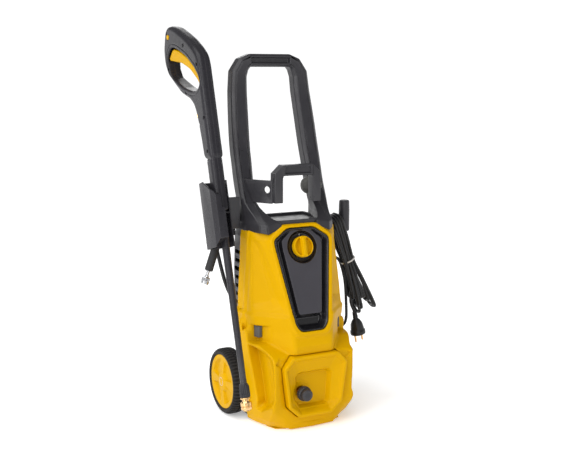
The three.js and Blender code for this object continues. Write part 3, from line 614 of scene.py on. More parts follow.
LEAD_RADIUS = 3.5
LEAD_ROUTE = [
    (142, 35, 352), (149, 35, 351), (156, 34.5, 347), (162, 34, 339), (167, 33, 325), (172, 31, 305), (176, 31, 280),
    (179, 32, 250), (181, 33, 222), (182, 34, 200), (181, 38, 184), (178, 47, 174), (174, 58, 174), (168, 68, 186),
    (164, 74, 206), (161, 77, 240), (159, 79, 290), (157, 80, 340), (155, 80, 385), (152, 77, 418), (150, 69, 436),
    (149, 62, 438),
]
TAIL_ROUTE = [
    (188.6, 25, 258), (188.2, 25, 248), (188.8, 25, 238), (191.5, 25, 228), (196, 25, 219), (199.4, 25, 211.9),
]
HANK_TOP, HANK_FOOT = Vector((141, 30, 441)), Vector((228, 30, 227))
HANK_TIE = 0.46  # how far down the tie sits


def hank_turns():
    """The turns hung over the arm: two layers side by side, drawn together by the tie."""
    run = HANK_FOOT - HANK_TOP
    length, down = run.length, run.normalized()
    across = down.cross(Y)
    across = across if across.x > 0 else -across
    columns = [(x, 16.5) for x in (-14, -7, 0, 7, 14)] + [(x, 23.3) for x in (10.5, 3.5, -3.5, -10.5)]
    drops = (0.02, 0.12, 0.24, 0.34, 0.42, 0.52, 0.64, 0.78, 0.9)
    foot = [(-15, 5, 12), (3, -26, 13), (-9, -4, 14), (15, 6, 11), (9, -12, 13), (17, 9, 15), (-2, -30, 15),
            (-13, -16, 16), (-18, -38, 14)]
    points = []

    def spot(column, low, f, side):
        """A point f of the way down, in front (side -1) or behind (side 1)."""
        shift, half = column
        spread, drop, bottom = low
        pinch = math.exp(-((f - HANK_TIE) / 0.13) ** 2)
        top = max(0.0, 1 - f / HANK_TIE)
        below = max(0.0, (f - HANK_TIE) / (1 - HANK_TIE))
        wide = shift * top + spread * 1.35 * below + shift * 0.85 * (1 - top) * (1 - below)
        thick = half * top + bottom * (1 - top)
        thick = thick * (1 - pinch) + (5.5 if half < 20 else 12) * pinch
        return HANK_TOP + down * (length * f + drop * f) + across * wide + Y * thick * side

    for turn, (column, low) in enumerate(zip(columns, foot)):
        after = columns[min(turn + 1, len(columns) - 1)]
        half = column[1]
        for angle in (60, 90, 120, 150):
            a = math.radians(angle)
            points.append(HANK_TOP + across * column[0] - down * half * 0.55 * math.sin(a) + Y * half * math.cos(a))
        for f in drops:
            points.append(spot(column, low, f, -1))
        base = spot(column, low, 1.0, 0)
        for angle in (-150, -120, -90, -60, -30):
            a = math.radians(angle)
            points.append(base + Y * low[2] * math.cos(a) - down * (low[2] * 0.9 * math.sin(a) + 4))
        for f in reversed(drops):
            blend = max(0.0, 1 - f / HANK_TIE)
            shift = column[0] + (after[0] - column[0]) * blend * 0.5
            points.append(spot((shift, half), low, f, 1))
    last = columns[-1]
    for angle in (60, 90, 120):
        a = math.radians(angle)
        points.append(HANK_TOP + across * -17 - down * 26 * 0.5 * math.sin(a) + Y * last[1] * math.cos(a))
    for f in (0.06, 0.2, 0.34, 0.44, 0.56):
        points.append(spot((-17, 22), (-21, 0, 14), f, -1))
    return points


def make_lead():
    path = smooth_path([*LEAD_ROUTE, *hank_turns(), (187, 19, 278), *TAIL_ROUTE], 4.0)
    lead = cord_curve("mains_lead", path, LEAD_RADIUS, "cord", ("power_cord_lead", "cord_hank", "power_cord_tail"))
    plug = make_plug()
    run = (HANK_FOOT - HANK_TOP).normalized()
    centre = HANK_TOP + (HANK_FOOT - HANK_TOP) * HANK_TIE
    ring = lathe([(1, -1.6), (1.08, -1.6), (1.08, 1.6), (1, 1.6), (1, -1.6)], 48)
    ring.transform(Matrix.Diagonal((18.2, 17.0, 1, 1)))
    tie = piece("cord_tie", ring, facing(centre, run + Vector((0, 0, 0.1))), "tie")


def make_plug():
    place = facing((200, 25, 211), (0.2, 0, -1))
    rings = [(0, -1), (4.6, -1), (5, 0)]
    for i in range(5):
        rings += [(6 - 0.1 * i, 2 + i * 3.6), (6 + 0.25 * i, 4 + i * 3.6), (5.1 + 0.25 * i, 4.4 + i * 3.6)]
    rings += [(10, 22), (14, 30), (16, 42), (16.4, 46), (18.2, 48), (18.8, 50), (18.8, 57), (17.8, 58), (0, 58)]
    return turned("plug_shell", rings, place, "cord", node="plug_body", segments=48, bulge=flutes(0.5, 12, 26, 45),
                  angle=40)


HOSE_RADIUS = 4.5
HOSE_ROUTE = [  # from the coil to the grip
    (-66, 111, 224), (-80, 109, 242), (-94, 105, 262), (-107, 100, 284), (-118, 96, 310),
    (-128, 94, 345), (-138, 92, 385), (-145, 88, 418), (-149, 79, 440), (-152, 68, 447.5), (-155, 58, 448.5),
    (-158, 46, 446), (-161, 34, 437), (-164.4, 26, 423), (-167.6, 24, 411),
]


def hose_coil():
    """Clockwise turns round the rear hook from the far fitting, in three layers; it leaves at the lower left."""
    centre = Vector((0, 112, 285))
    fitting = ((24, 112, 298), (32, 112, 298), (41, 113.5, 296), (49, 117, 290.5), (53.6, 121.5, 282))
    points = [Vector(p) for p in fitting]
    layers = [(55.5, -1), (65.0, 1), (74.5, -1)]  # radius, and the way that its turns run along y
    turns, half_width = 4, 13.8
    start, leave = math.radians(-14), math.radians(-130.3)
    sweep = math.tau * (len(layers) * turns - 1) + start - leave
    steps = len(layers) * turns * 20
    for i in range(steps + 1):
        done = i / steps * (sweep / math.tau)
        layer = min(int(done / turns), len(layers) - 1)
        radius, way = layers[layer]
        part = min((done - layer * turns) / turns, 1)
        climb = max(0.0, (part - 0.9) / 0.1) if layer + 1 < len(layers) else 0
        radius += climb * 9.5
        y = way * half_width * (2 * min(part / 0.9, 1) - 1)
        off = max(0.0, 1 - (sweep / math.tau - done) / 0.25)
        off = off * off * (3 - 2 * off)
        radius += off * (90.5 - radius)
        y -= off * y
        a = start - math.tau * done
        points.append(centre + Vector((radius * math.cos(a), y, radius * math.sin(a))))
    return points


def make_hose():
    path = smooth_path([*hose_coil(), *HOSE_ROUTE], 5.0)
    hose = cord_curve("high_pressure_hose", path, HOSE_RADIUS, "hose", ("hose_tube", "hose_coil"))
    place = facing((-168, 24, 410), (-0.335, 0, -0.942))
    grip = [(0, 0), (5.4, 0), (7, 1), (9, 4), (9.5, 7), (9.5, 59), (9, 61.5), (7, 62), (0, 62)]
    sleeve = turned("hose_grip", grip, place, "rubber", node="hose_sleeve", bulge=flutes(0.25, 20, 8, 58))
    stem = [(0, 60), (4.4, 60), (4.4, 64), (3.4, 65), (3.4, 72), (4.6, 73), (4.6, 76.5), (0, 76.5)]
    nipple = turned("hose_stem", stem, place, "steel", node="hose_nipple", segments=32)
    hexagon = lathe([(0, 76.3), (8.8, 76.3), (10.6, 78.5), (10.6, 85), (9.2, 86), (0, 86)], 6)
    neck = lathe([(0, 84), (8.9, 84), (8.9, 92), (8.2, 93), (0, 93)], 40)
    bore = lathe([(0, 80), (6, 80), (6, 96), (0, 96)], 32)
    nut = piece("hose_union_nut", cut(fused(hexagon, neck), bore), place, "steel", replaces=("hose_nut",), bevel=0.5,
                angle=25)


# ---- body
UPPER = [  # height, then rear edge, shoulder and front corner of the half outline
    (150, (112, -15), (106, -60), (48, -131)), (192, (119, -15), (112, -58), (48, -131)),
    (222, (121, -15), (115, -55), (50, -123)), (257, (126, -15), (120, -53), (59, -117)),
    (264, (121, -15), (117, -50), (57, -111)), (307, (119, -15), (115, -45), (62, -99)),
    (400, (113, -15), (109, -33), (75, -73)), (425, (111, -15), (107, -30), (77, -66)),
    (455, (107, -15), (102, -25), (50, -57)),
]
SKIRT = [
    (3, (112, -15), (106, -50), (92, -84), (60, -120)), (22, (115, -15), (112, -56), (99, -106), (65, -126)),
    (60, (119, -15), (116, -62), (103, -138), (85, -131)), (118, (124, -15), (119, -62), (103, -140), (87, -131)),
    (167, (129, -15), (123, -62), (101, -136), (85, -131)), (214, (131, -15), (126, -62), (97, -122), (79, -124)),
]
# Outlines of the side recesses: share of the way back between the corners at the side, and height.
UPPER_RIM = [(1.0, 430), (0.60, 419), (0.36, 404), (0.02, 292), (0.10, 277), (1.0, 268)]
UPPER_FLOOR = [(0.98, 422), (0.80, 414), (0.70, 403), (0.42, 297), (0.46, 289), (0.98, 281)]
SKIRT_RIM = [(1.22, 193), (0.14, 183), (0.0, 163), (-0.02, 73), (0.28, 53), (0.62, 38), (0.94, 42), (0.88, 66)]
SKIRT_FLOOR = [(1.12, 182), (0.42, 165), (0.26, 146), (0.16, 80), (0.38, 64), (0.62, 55), (0.86, 56), (0.84, 72)]


def corner(levels, k, z):
    heights = [level[0] for level in levels]
    return tuple(np.interp(z, heights, [level[1 + k][n] for level in levels]).astype(np.float32) for n in (0, 1))


def stacked(x, y, z, levels, ease, rear=True):
    """A body through level outlines, the same on both sides."""
    count = len(levels[0]) - 1
    wide = np.abs(x)
    result = None
    for k in range(count):
        ax, ay = corner(levels, k, z)
        bx, by = corner(levels, k + 1, z) if k + 1 < count else (ax * 0, ay)
        ex, ey = bx - ax, by - ay
        side = -((wide - ax) * ey - (y - ay) * ex) / np.hypot(ex, ey)
        result = side if result is None else within(result, side, ease)
    if rear:
        result = np.maximum(result, y - levels[0][1][1])
    return result


def sunk_field(x, y, z, levels, rim, floor, front, rear, ease):
    """A recess in the slanted side behind the front corner, with its depths at its front and rear edges."""
    (ax, ay), (bx, by) = corner(levels, 1, z), corner(levels, 2, z)
    ex, ey = ax - bx, ay - by
    size = np.hypot(ex, ey)
    wide = np.abs(x)
    u = ((wide - bx) * ex + (y - by) * ey) / size ** 2
    out = ((wide - bx) * ey - (y - by) * ex) / size
    depth = front + (rear - front) * np.clip(u, 0, 1.1)
    mean = float(np.mean(size))
    near, far = ([(a * mean, b) for a, b in points] for points in (rim, floor))
    f = np.clip(-out / depth, -0.6, 1)
    sides = outlined(u * mean, z, near) * (1 - f) + outlined(u * mean, z, far) * f
    return within(sides, -out - depth, ease)


def make_front():
    low, high, step = (-136, -168, -2), (136, 18, 462), 1.8
    x, y, z = grid(low, high, step)
    wide = np.abs(x)
    upper = stacked(x, y, z, UPPER, 6)
    upper = within(within(upper, z - 455, 6), 150 - z, 2)
    skirt = stacked(x, y, z, SKIRT, 5)
    skirt = within(skirt, (z - (169 + (y + 131) * 0.56)) / 1.146, 3)
    skirt = within(skirt, 3 - z, 5)
    body = merge(upper, skirt, 5 + 13 * np.clip((y + 75) / 45, 0, 1))
    plinth = convex(wide, y, [(56, -122), (58, -60), (-9, -60), (-9, -127)], 2)
    body = merge(body, np.maximum(plinth, np.abs(z - 8) - 6), 3)
    along, height = y - PANEL_Y, z - PANEL_Z
    up = along * math.cos(PANEL_TILT) + height * math.sin(PANEL_TILT)
    rise = -along * math.sin(PANEL_TILT) + height * math.cos(PANEL_TILT)

    def panel(grow, low_z, high_z, ease):
        half = [(34 + grow * 0.4, 118 + grow), (69 + grow, 93.4 + grow * 0.5), (69 + grow, 80),
                (41 + grow, -100), (29 + grow, -115 - grow)]
        flat = outlined(x, up, rounded(symmetric(half), 9))
        return within(within(flat, rise - high_z, ease), low_z - rise, ease)

    frame_rim = within(panel(9, -20, 3.4, 3), z - 455, 3)
    body = merge(body, frame_rim, 9)
    inner = stacked(x, y, z, UPPER, 6, rear=False) + 9
    inner = np.maximum(np.maximum(inner, z - 442), 12 - z)
    inner = np.maximum(inner, -93 - y)
    for levels, rim, floor, front, rear in ((UPPER, UPPER_RIM, UPPER_FLOOR, 13, 3),
                                            (SKIRT, SKIRT_RIM, SKIRT_FLOOR, 6, 26)):
        recess = sunk_field(x, y, z, levels, rim, floor, front, rear, 2)
        body = without(body, recess, 2)
        inner = np.maximum(inner, 8 - recess)
    seam = np.interp(z, (211, 295, 343, 425, 444), (108, 112, 113, 110.5, 108)) + 2.6
    lap = np.maximum(corner(UPPER, 0, z)[0], seam).astype(np.float32) + np.maximum(y + 15, 0) * 0.1
    flange = np.maximum(np.abs(wide - lap + 1.2) - 1.2, np.maximum(np.abs(y + 4) - 16, np.abs(z - 330) - 113))
    body = merge(body, flange, 2.5)
    crease = np.hypot(wide - corner(UPPER, 0, z)[0] - 2.5, y + 29)
    body = without(body, np.maximum(crease - 5.5, np.abs(z - 330) - 112), 3)
    well = convex(wide, y, [(74, -128), (131, -128), (131, -46), (100, -46)], 3)
    pocket = within(well, np.abs(z - 215) - 19, 3)
    body = without(body, pocket, 4)
    inner = np.maximum(inner, 6 - pocket)
    ledge = convex(wide, y, [(60, -150), (150, -150), (150, -62), (108, -62)], 3)
    body = without(body, within(ledge, np.abs(z - 228) - 7, 3), 4)
    body = without(body, within(within(76 - wide, y, 1), 444 - z, 1), 1)
    flat = outlined(x, z, octagon(*OCTAGON, grow=1.2))
    body = without(body, np.maximum(flat, y + 111), 2)
    gap = outlined(wide, z, [(84, 152), (60, 176), (76, 182), (96, 160)])
    body = without(body, np.maximum(gap, y + 126), 3)
    shaft_hole = np.maximum(np.hypot(x, up - KNOB_RISE) - 17, np.abs(rise + 10) - 20)
    body = less(body, inner, panel(1.0, -20, 40, 1), shaft_hole)
    wheel = np.maximum(np.hypot(y - AXLE_Y, z - WHEEL_RADIUS) - WHEEL_RADIUS - 4.5, 106 - wide)
    body = without(body, wheel, 2)
    moulded("front_shell", body, low, step, WORLD, "yellow", replaces=("front_housing",))


def octagon(top, shoulder, low, foot, grow=0.0):
    """The outlet cover's outline from the corners of its right half."""
    return symmetric([(top[0] + grow * 0.6, top[1] + grow), (shoulder[0] + grow, shoulder[1] + grow * 0.5),
                      (low[0] + grow, low[1] - grow * 0.5), (foot[0] + grow * 0.5, foot[1] - grow)])


# The right half of the outlet cover's outline, then of the step and the floor inside it.
OCTAGON = ((58, 173), (81, 148), (68, 57), (41, 32))
OCTAGON_MID = ((40, 136), (50, 125), (44, 58), (37, 48))
OCTAGON_FLOOR = ((34, 129), (41, 121), (37, 61), (33, 54))


def make_outlet_cover():
    low, high, step = (-88, 24, -21), (88, 182, 13), 1.1
    x, y, z = grid(low, high, step)
    outer, middle, floor = (outlined(x, y, rounded(octagon(*corners), ease))
                            for corners, ease in ((OCTAGON, 5), (OCTAGON_MID, 3), (OCTAGON_FLOOR, 3)))
    dish = within(within(outer, z - 10, 2.5), -19 - z, 1)
    f, g = np.clip((z + 3) / 8, 0, 1), np.clip((z - 5) / 5, 0, 1.3)
    slope = within((middle * (1 - f) + (outer + 11) * f) * (1 - g) + (outer + 7) * g, -3 - z, 1)
    f = np.clip((z + 15) / 13, 0, 1.2)
    pit = within((floor + 1) * (1 - f) + (middle + 1.5) * f, -15 - z, 1)
    dish = without(without(dish, slope, 1.6), pit, 1.6)
    r = np.hypot(x - CAP_X, y - CAP_Z)
    dish = without(dish, within(r - 25 - 0.12 * (z + 15), -15.6 - z, 2), 1.2)
    dish = less(dish, r - 12.5)
    moulded("outlet_surround", dish, low, step, APRON, "yellow", replaces=("outlet_cover",))
    profile = [(0, 0), (15, 0), (16.5, 1), (16.5, 8), (15, 10.5), (13.6, 11.5), (13.2, 20), (12, 22), (9.6, 22.6),
               (9, 22), (0, 22)]
    turned("outlet_plug", [(r, h - CAP_SUNK) for r, h in profile], APRON @ at(CAP_X, CAP_Z, 0), "black", "cap",
           "outlet_cap", 144, lambda a, r, h: 0.5 * max(-0.4, math.cos(24 * a)) if h > -CAP_SUNK and r > 12 else 0, 35)


def make_fascia():
    low, high, step = (-76, -124, -20), (76, 126, 5), 1.0
    x, up, rise = grid(low, high, step)
    edge = outlined(x, up, rounded(symmetric([(34, 118), (69, 93.4), (69, 80), (41, -100), (29, -115)]), 9))
    face = outlined(x, up, rounded(symmetric([(25, 110), (48, 91), (48, 74), (28.5, -70), (27, -76)]), 4))
    fascia = within(within(edge + 0.4, rise - 3.4, 2), -19 - rise, 1)
    f = np.clip((3.4 - rise) / 14, 0, 1.2)
    valley = within(within(edge + 4 + 8 * f, 5.5 * f - face, 2), -10 - rise, 2)
    sunk = within(within(edge + 4 + 8 * f, 6 * f - face, 2), -17 - rise, 2)
    sunk = np.maximum(sunk, up + 74)
    fascia = without(without(fascia, valley, 1.6), sunk, 1.6)
    fascia = less(fascia, np.maximum(edge + 5, 0.6 - rise))
    r = np.hypot(x, up - KNOB_RISE)
    fascia = without(fascia, within(r - 32 - 0.7 * (rise + 7), -7 - rise, 2), 1.6)
    fascia = less(fascia, r - 9)
    obj = moulded("fascia", fascia, low, step, PANEL, "gloss", replaces=("control_panel",))
    obj.data.materials.append(LOOKS["face"])
    outward = (PANEL.to_3x3() @ Z).normalized()
    level = (PANEL @ Vector((0, 0, 0.6))).dot(outward)
    for polygon in obj.data.polygons:
        if polygon.normal.dot(outward) > 0.9 and abs(Vector(polygon.center).dot(outward) - level) < 0.0009:
            polygon.material_index = 1
    marks = []
    for turn in (0, 90):
        a = math.radians(90 - turn)
        tick = shifted(box((-0.5, -2.2, -7.4), (0.5, 2.2, -6.7)), Matrix.Rotation(a - math.pi / 2, 4, "Z"))
        marks.append(shifted(tick, at(29 * math.cos(a), KNOB_RISE + 29 * math.sin(a), 0)))
    piece("switch_marks", joined(*marks), PANEL, "tie")


def make_knob():
    low, high, step = (-27, -27, -15), (27, 27, 19), 0.6
    x, y, z = grid(low, high, step)
    r = np.hypot(x, y)
    disc = within(within(r - 24, z - 9, 1.5), -4.2 - z, 1)
    hollow = within(within(r - 21.2, 6.4 - np.abs(x), 1.5), 0.6 - z, 2)
    disc = without(disc, hollow, 1.2)
    ridge = within(within(np.abs(x) - 7.2 + 0.16 * z, np.abs(y) - 21.6, 1.5), z - 16.6 + 0.1 * np.abs(y - 4), 1.5)
    ridge = np.maximum(ridge, -z)
    knob = merge(disc, ridge, 1.5)
    knob = without(knob, within(within(np.abs(x - 3.4) - 1.5, np.abs(y) - 18, 1), 13.4 - z, 1), 0.8)
    knob = np.minimum(knob, np.maximum(np.maximum(r - 5, z + 3), -14 - z))
    moulded("switch_dial", knob, low, step, PANEL @ at(0, KNOB_RISE, 0), "yellow", "knob", ("switch_knob",))


# ---- handles
def leg_ring(x, y, z, half, deep, turn):
    """A chamfered rectangle about a centre, across and deep, turned about y."""
    k = 0.38
    outline = [(1, -1 + k), (1, 1 - k), (1 - k, 1), (-1 + k, 1), (-1, 1 - k), (-1, -1 + k), (-1 + k, -1), (1 - k, -1)]
    spin = Matrix.Rotation(math.radians(turn), 3, "Y")
    return [Vector((x, y, z)) + spin @ Vector((a * half, b * deep, 0)) for a, b in outline]


def grooved(ring, depth):
    """A ring with a groove along its front face."""
    start, end = ring[6], ring[7]
    marks = ((0.08, 0), (0.17, depth), (0.83, depth), (0.92, 0))
    return [*ring[:7], *(start.lerp(end, f) + Vector((0, d, 0)) for f, d in marks), end]


def between(rings, steps):
    """Rings with smooth ones put between them."""
    ends = [rings[0], *rings, rings[-1]]
    result = [rings[0]]
    for a, b, c, d in zip(ends, ends[1:], ends[2:], ends[3:]):
        for k in range(1, steps + 1):
            f = k / steps
            result.append([spline_point(*four, f) for four in zip(a, b, c, d)])
    return result


def make_handles():
    foot = [[Vector(p) for p in ring] for ring in (
        ((111, -10, 441), (119, 33, 444), (113, 47, 444), (78, 46, 444),
         (74, 30, 452), (44, -60.5, 451), (78, -60, 436.5), (94, -46, 440)),
        ((111, -10, 459), (119, 33, 459), (113, 45, 459), (77.8, 44, 462),
         (74, 28, 464), (45, -56, 463), (79, -56, 457), (94, -44, 458)),
        ((110, 2, 474), (115, 34, 474), (108, 47, 474), (79, 46, 474),
         (76, 30, 476), (62, -32, 474), (80, -34, 473), (96, -26, 473)),
    )]
    leg = [leg_ring(*row) for row in (
        (92, 27, 502, 19, 22, 0), (91, 44, 545, 20, 20, 0), (90, 57, 590, 21, 19, 0),
        (89, 68, 626, 21.5, 18.5, 0), (86, 82, 689, 21.5, 18, -2), (82, 95, 750, 20.5, 18, -5),
    )]
    top = [leg_ring(*row) for row in (
        (79, 99, 790, 20, 18, -20), (67, 100, 812, 17.5, 18, -50), (51, 100, 821, 15, 18, -88),
    )]
    bar = [leg_ring(x, 100, 821, 15, 18, -90) for x in (47, 0)]
    half = [grooved(ring, 0) for ring in (foot[0], *between([*foot[1:], *leg], 3), *top)]
    half += [grooved(ring, 9) for ring in bar]
    mirror = [[Vector((-p.x, p.y, p.z)) for p in ring] for ring in reversed(half[:-1])]
    piece("loop_handle", loft([*half, *mirror]), WORLD, "black", replaces=("main_handle",), bevel=2.2, steps=4,
          angle=11)
    grip = cut(from_node("carry_handle"), box((-30, -31, 571), (30, -20, 585)), box((-33, -60, 571), (33, -48.5, 585)))
    bmesh.ops.remove_doubles(grip, verts=grip.verts, dist=1.0)
    bmesh.ops.dissolve_degenerate(grip, dist=0.1, edges=grip.edges)
    piece("carry_grip", tidy(grip, 3), WORLD, "black", replaces=("carry_handle",), bevel=1.4, angle=18)


# ---- wheels
SPOKE_STEPS = 160  # directions round the hub
# Radii at which the hub's outer face is drawn, then radius and height of the points round its back.
HUB_RADII = (0, 5, 9, 13, 14.5, 16, 18, 20, 22, 25, 28, 31, 34, 37, 40, 43, 46, 48, 50, 52, 54, 57, 59, 61, 62.4,
             HUB_RADIUS)
HUB_BACK = [(HUB_RADIUS, -13), (58, -13), (56, 2), (16, 2), (14, -15), (6.4, -15)]


def share(value):
    """The value held between 0 and 1."""
    return min(max(value, 0), 1)


def make_wheel(name, side):
    face = FLIP if side < 0 else Matrix.Identity(4)
    place = WORLD @ at(side * WHEEL_X, AXLE_Y, WHEEL_RADIUS) @ face @ ACROSS
    ribs = 56

    def tread(a, r, h):
        wave = math.cos(ribs * a + (0.8 if h > 0 else -0.8))
        depth = 1.9 if abs(h) < 13.5 and r > 74 else (1.2 if r > 71 and abs(h) < 19 else 0)
        return -depth if wave < -0.25 else 0

    half = [(HUB_RADIUS, 13), (64, 16.5), (67, 18.6), (70.5, 18.9), (73, 17.5), (75.2, 15), (76.6, 12.5), (77.3, 8),
            (77.5, 2), (75.4, 1)]
    profile = [*((r, -h) for r, h in half), *reversed(half), (HUB_RADIUS, -13)]
    turned(f"tyre_{name}_fine", profile, place, "tyre", f"wheel_{name}", f"tyre_{name}", ribs * 6, tread, 28)

    def plate(i):
        """Height of the outer face along one spoke direction, by radius."""
        a = math.tau * i / SPOKE_STEPS
        off = abs(math.degrees(a) % 90 - 45)
        rows = []
        for r in HUB_RADII:
            lip = 16.2 if r > 57 else 16.6 - 0.9 * max(0, (r - 16) / 45)
            wall = share((off * math.pi / 180 * max(r, 1) - (6.5 + 0.25 * r)) / 3.0)
            open_r = share((r - 19 - (1 - wall) * 2) / 3) * share((53 - r) / 3.5)
            inside = 1 - share((off - 31 + 160 / max(r, 8)) / 4.5)
            sunk = min(open_r, inside) * (0.55 + 0.45 * min(1, (r - 16) / 30))
            rows.append((r, lip - 6.5 * sunk + 3.4 * max(0, 1 - r / 20) ** 0.6))
        return a, rows

    bm = bmesh.new()
    columns = []
    for i in range(SPOKE_STEPS):
        a, rows = plate(i)
        columns.append([bm.verts.new((max(r, 0.01) * math.cos(a), max(r, 0.01) * math.sin(a), h))
                        for r, h in (*rows, *HUB_BACK)])
    for i in range(SPOKE_STEPS):
        first, second = columns[i], columns[(i + 1) % SPOKE_STEPS]
        for k in range(len(first) - 1):
            bm.faces.new((first[k], second[k], second[k + 1], first[k + 1]))
    bm.faces.new([c[0] for c in columns])
    bm.faces.new([c[-1] for c in reversed(columns)])
    bmesh.ops.recalc_face_normals(bm, faces=bm.faces)
    piece(f"hub_{name}_fine", bm, place, "yellow", f"wheel_{name}", (f"wheel_hub_{name}",), angle=40)


# ---- spray gun, drawn as (x, t, s)
GRIP_OUTER = [(-31, 540), (-31, 756), (-27, 780), (-8, 804), (24, 834), (60, 861), (92, 883), (116, 895),
              (134, 899), (147, 895), (159, 880), (174, 853), (177, 821), (166, 789), (127, 751), (98, 724),
              (52, 697), (31, 676), (23, 655), (19, 632), (14, 590), (11, 546)]
GRIP_OPENING = [(-20, 714), (-16, 732), (3, 759), (41, 796), (88, 828), (122, 844), (149, 829), (155, 804),
                (144, 779), (114, 758), (73, 731), (28, 710), (0, 704)]
TRIGGER = [(-22, 709), (-17, 731), (3, 757), (41, 793), (88, 825), (122, 840), (148, 826), (149, 820),
           (79, 792), (35, 764), (-4, 725), (-14, 706)]
LEVER_POCKET = [(-27, 706), (-27, 757), (16, 797), (68, 839), (105, 865), (144, 868), (157, 846),
                (153, 818), (68, 773), (-12, 706)]
GUN_SCREWS = [(46, 824), (-17, 759), (-20, 636), (-17, 560), (158, 800), (66, 716), (12, 628), (140, 884)]
LOCK_AT = (132, 872)


def make_gun():
    low, high, step = (-2, -36, 422), (20, 184, 906), 1.3
    x, t, s = grid(low, high, step)
    grip = pushed(outlined(t, s, rounded(GRIP_OUTER, 12)), x, 17, 11.5)
    tail = pushed(outlined(t, s, rounded([(-28, 425), (-28, 545), (4, 547), (4, 425)], 3)), x, 14.5, 9)
    shell = merge(grip, tail, 2)
    opening = outlined(t, s, rounded(GRIP_OPENING, 12))
    shell = without(shell, opening, 6)
    step_line = np.maximum(np.abs(opening - 10) - 0.7, 15.8 - x)
    shell = without(shell, step_line, 1.2)
    pocket = outlined(t, s, LEVER_POCKET)
    lance_bore = np.maximum(np.hypot(x, t - BORE_T) - 10.5, s - 706)
    shell = less(shell, np.maximum(pocket, x - 13.4), lance_bore)
    shell = without(shell, np.hypot(t - LOCK_AT[0], s - LOCK_AT[1]) - 6.4, 1.5)
    shell = without(shell, np.maximum(np.hypot(x, s - INLET_S) - 9, BORE_T - t), 1.5)
    shell = without(shell, np.maximum(np.abs(s - 541) - 0.9, np.maximum(12 - x, -22 - t)), 1)
    for at_t, at_s in GUN_SCREWS:
        shell = without(shell, np.maximum(np.hypot(t - at_t, s - at_s) - 4.0, 9 - x), 0.8)
    for name, side in SIDES:
        place = GUN @ (FLIP if side < 0 else Matrix.Identity(4))
        moulded(f"gun_half_{name}", shell, low, step, place, "gun_black", "gun", (f"gun_shell_{name}",), half=True)
        heads = []
        for at_t, at_s in GUN_SCREWS:
            slots = [box((-a, -b, 9.4), (a, b, 12)) for a, b in ((2.2, 0.5), (0.5, 2.2))]
            head = cut(rod(3.4, 6, 10.2, 24, 0.3), *slots)
            heads.append(shifted(head, at(0, at_t, at_s) @ ACROSS))
        piece(f"gun_screws_{name}", joined(*heads), place, "pit", "gun")
    low, step = (-14, -28, 708), 1.0
    x, t, s = grid(low, (14, 156, 848), step)
    lever = pushed(outlined(t, s, rounded(TRIGGER, 9)), x, 12.4, 3.4)
    ear = pushed(outlined(t, s, [(-20, 728), (-22, 745), (-12, 751), (6, 760), (-2, 740)]), x, 6, 1)
    moulded("trigger_lever", merge(lever, ear, 2), low, step, GUN, "yellow", "trigger", ("trigger",))
    lock = [(0, -18.4), (5, -18.4), (5.8, -17.6), (5.8, 15), (5, 16), (0, 16)]
    turned("lock_button", lock, GUN @ at(0, *LOCK_AT) @ ACROSS, "yellow", "lock", "trigger_lock")
    bore = GUN @ at(0, BORE_T, 0)
    tube = [(0, 45), (7, 45), (7.2, 120), (8.0, 240), (8.8, 345), (8.8, 425), (8, 430), (8, 555), (0, 555)]
    turned("lance_pipe", tube, bore, "gun_black", "gun", "lance_tube")
    collar = [(0, 14.3), (9.6, 14.3), (10.6, 15.5), (10.8, 24), (10.4, 38), (9.2, 43), (8.2, 44.8), (0, 44.8)]
    turned("lance_grip", collar, bore, "gun_black", "gun", "lance_collar", 96, flutes(0.7, 16, 15, 42, 9), 40)
    coupler = [(0, 14), (10.2, 14), (11, 13.2), (11, 11.2), (10.2, 10.4), (7.5, 10.4), (7.5, -15), (4.5, -15),
               (4.5, 0), (0, 0)]
    turned("coupler_body", coupler, bore, "brass", "gun", "quick_coupler", 48)
    sleeve = [(8, -12), (10.6, -12), (12, -11), (12.3, -10), (12.3, -6.5), (11.2, -5.6), (11.2, -4.6), (12.3, -3.8),
              (12.3, 3), (11, 5), (10.4, 6), (8, 6), (8, -12)]
    turned("coupler_ring", sleeve, bore, "brass", "sleeve", "coupler_sleeve", 96, flutes(0.25, 30, -3, 3, 12))
    inlet = GUN @ at(0, INLET_T, INLET_S) @ Matrix.Rotation(-math.pi / 2, 4, "X")
    threads = [(0, 0), (7.2, 0), (7.2, 30), (9.4, 30), (9.4, 34), (8.5, 35)]
    for i in range(6):
        threads += [(7.6, 36 + i * 1.7), (8.5, 36.8 + i * 1.7)]
    threads += [(8.0, 47), (7, 49), (4, 49), (4, 24), (0, 24)]
    turned("gun_thread", threads, inlet, "brass", "gun", "gun_inlet")


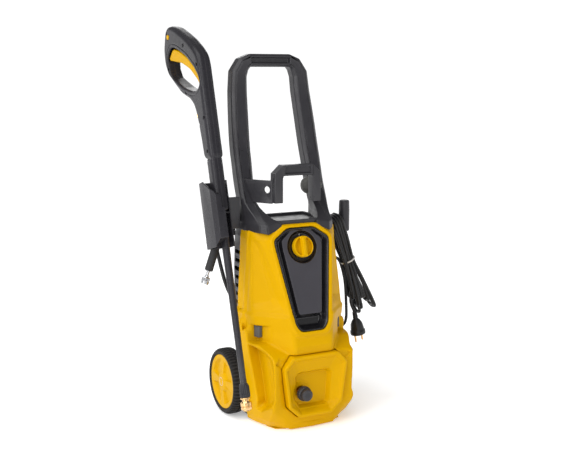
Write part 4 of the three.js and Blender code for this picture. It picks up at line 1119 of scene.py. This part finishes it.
# ---- holder, hooks and small parts
def make_fittings():
    refined("gun_holder", "gun_black", bevel=1.2, angle=16)
    refined("holder_bracket", "black", bevel=1.6)
    refined("hose_rest", "black", bevel=0.6)
    refined("hose_hook", "black", bevel=1.6)
    for name, _ in SIDES:
        refined(f"pocket_insert_{name}", "grey", bevel=1.5)
        refined(f"foot_{name}", "yellow", bevel=0.6)
    arm = lathe([(0, 0), (12, 0), (12, 52), (0, 52)], 48)
    post = lathe([(0, -12.5), (11.6, -12.5), (13, -11), (13, 40), (12.4, 58), (11.6, 61), (9.8, 62.4), (0, 62.6)], 48)
    foot = box((114, 10, 404), (121, 50, 440))
    hook = fused(shifted(post, at(170, 30, 428)), shifted(arm, at(117, 30, 428) @ ACROSS), foot)
    piece("cable_post", hook, WORLD, "black", replaces=("cable_hook",), bevel=1.0, angle=35)
    relief = [(0, 0), (6.7, 0), (6.7, 8), (9, 9), (9, 13), (7, 14)]
    for i in range(4):
        relief += [(7 - 0.35 * i, 17 + i * 5), (5.6 - 0.2 * i, 17.6 + i * 5), (5.6 - 0.2 * i, 19 + i * 5),
                   (6.8 - 0.35 * i, 19.6 + i * 5)]
    relief += [(4.6, 37.6), (4.2, 38), (0, 38)]
    turned("lead_relief", relief, facing((103.5, 35, 352), X), "rubber", node="strain_relief")
    tip = [(0, -9), (6.2, -9), (7, -8.2), (7, 13), (18.6, 13), (20, 14.4), (20, 22), (19.4, 27), (17.4, 31.5),
           (14, 35.5), (10, 38.4), (5, 40), (0, 40.5)]
    turned("stored_nozzle", tip, facing((76, -6, 535), (-0.85, 0.527, 0)), "grey", "nozzle", "spray_nozzle", 64)


HIDDEN_LOOKS = {  # the finishes of the CAD pieces that stay as they are
    "aluminium": ("motor_body", "pump_body"), "grey": ("cooling_fan",), "black": ("power_switch",),
    "steel": ("motor_shaft", "swash_plate", "piston_1", "piston_2", "piston_3", "axle", "trigger_pin"),
    "brass": ("pump_head", "outlet_fitting", "water_inlet", "gun_valve", "plug_pin_left", "plug_pin_right",
              "hose_far_fitting"),
}


def dress_nodes():
    for look, nodes in HIDDEN_LOOKS.items():
        for node in nodes:
            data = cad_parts[node].data
            data.materials.clear()
            data.materials.append(LOOKS[look])


make_camera()
make_lead()
make_hose()
make_studio()
make_front()
make_outlet_cover()
make_fascia()
make_knob()
refined("rear_housing", "black", 1.6, name="rear_shell")
refined("top_cover", "black", 0.9, 20, name="top_tray")
make_handles()
for wheel, wheel_side in SIDES:
    make_wheel(wheel, wheel_side)
make_gun()
make_fittings()
dress_nodes()
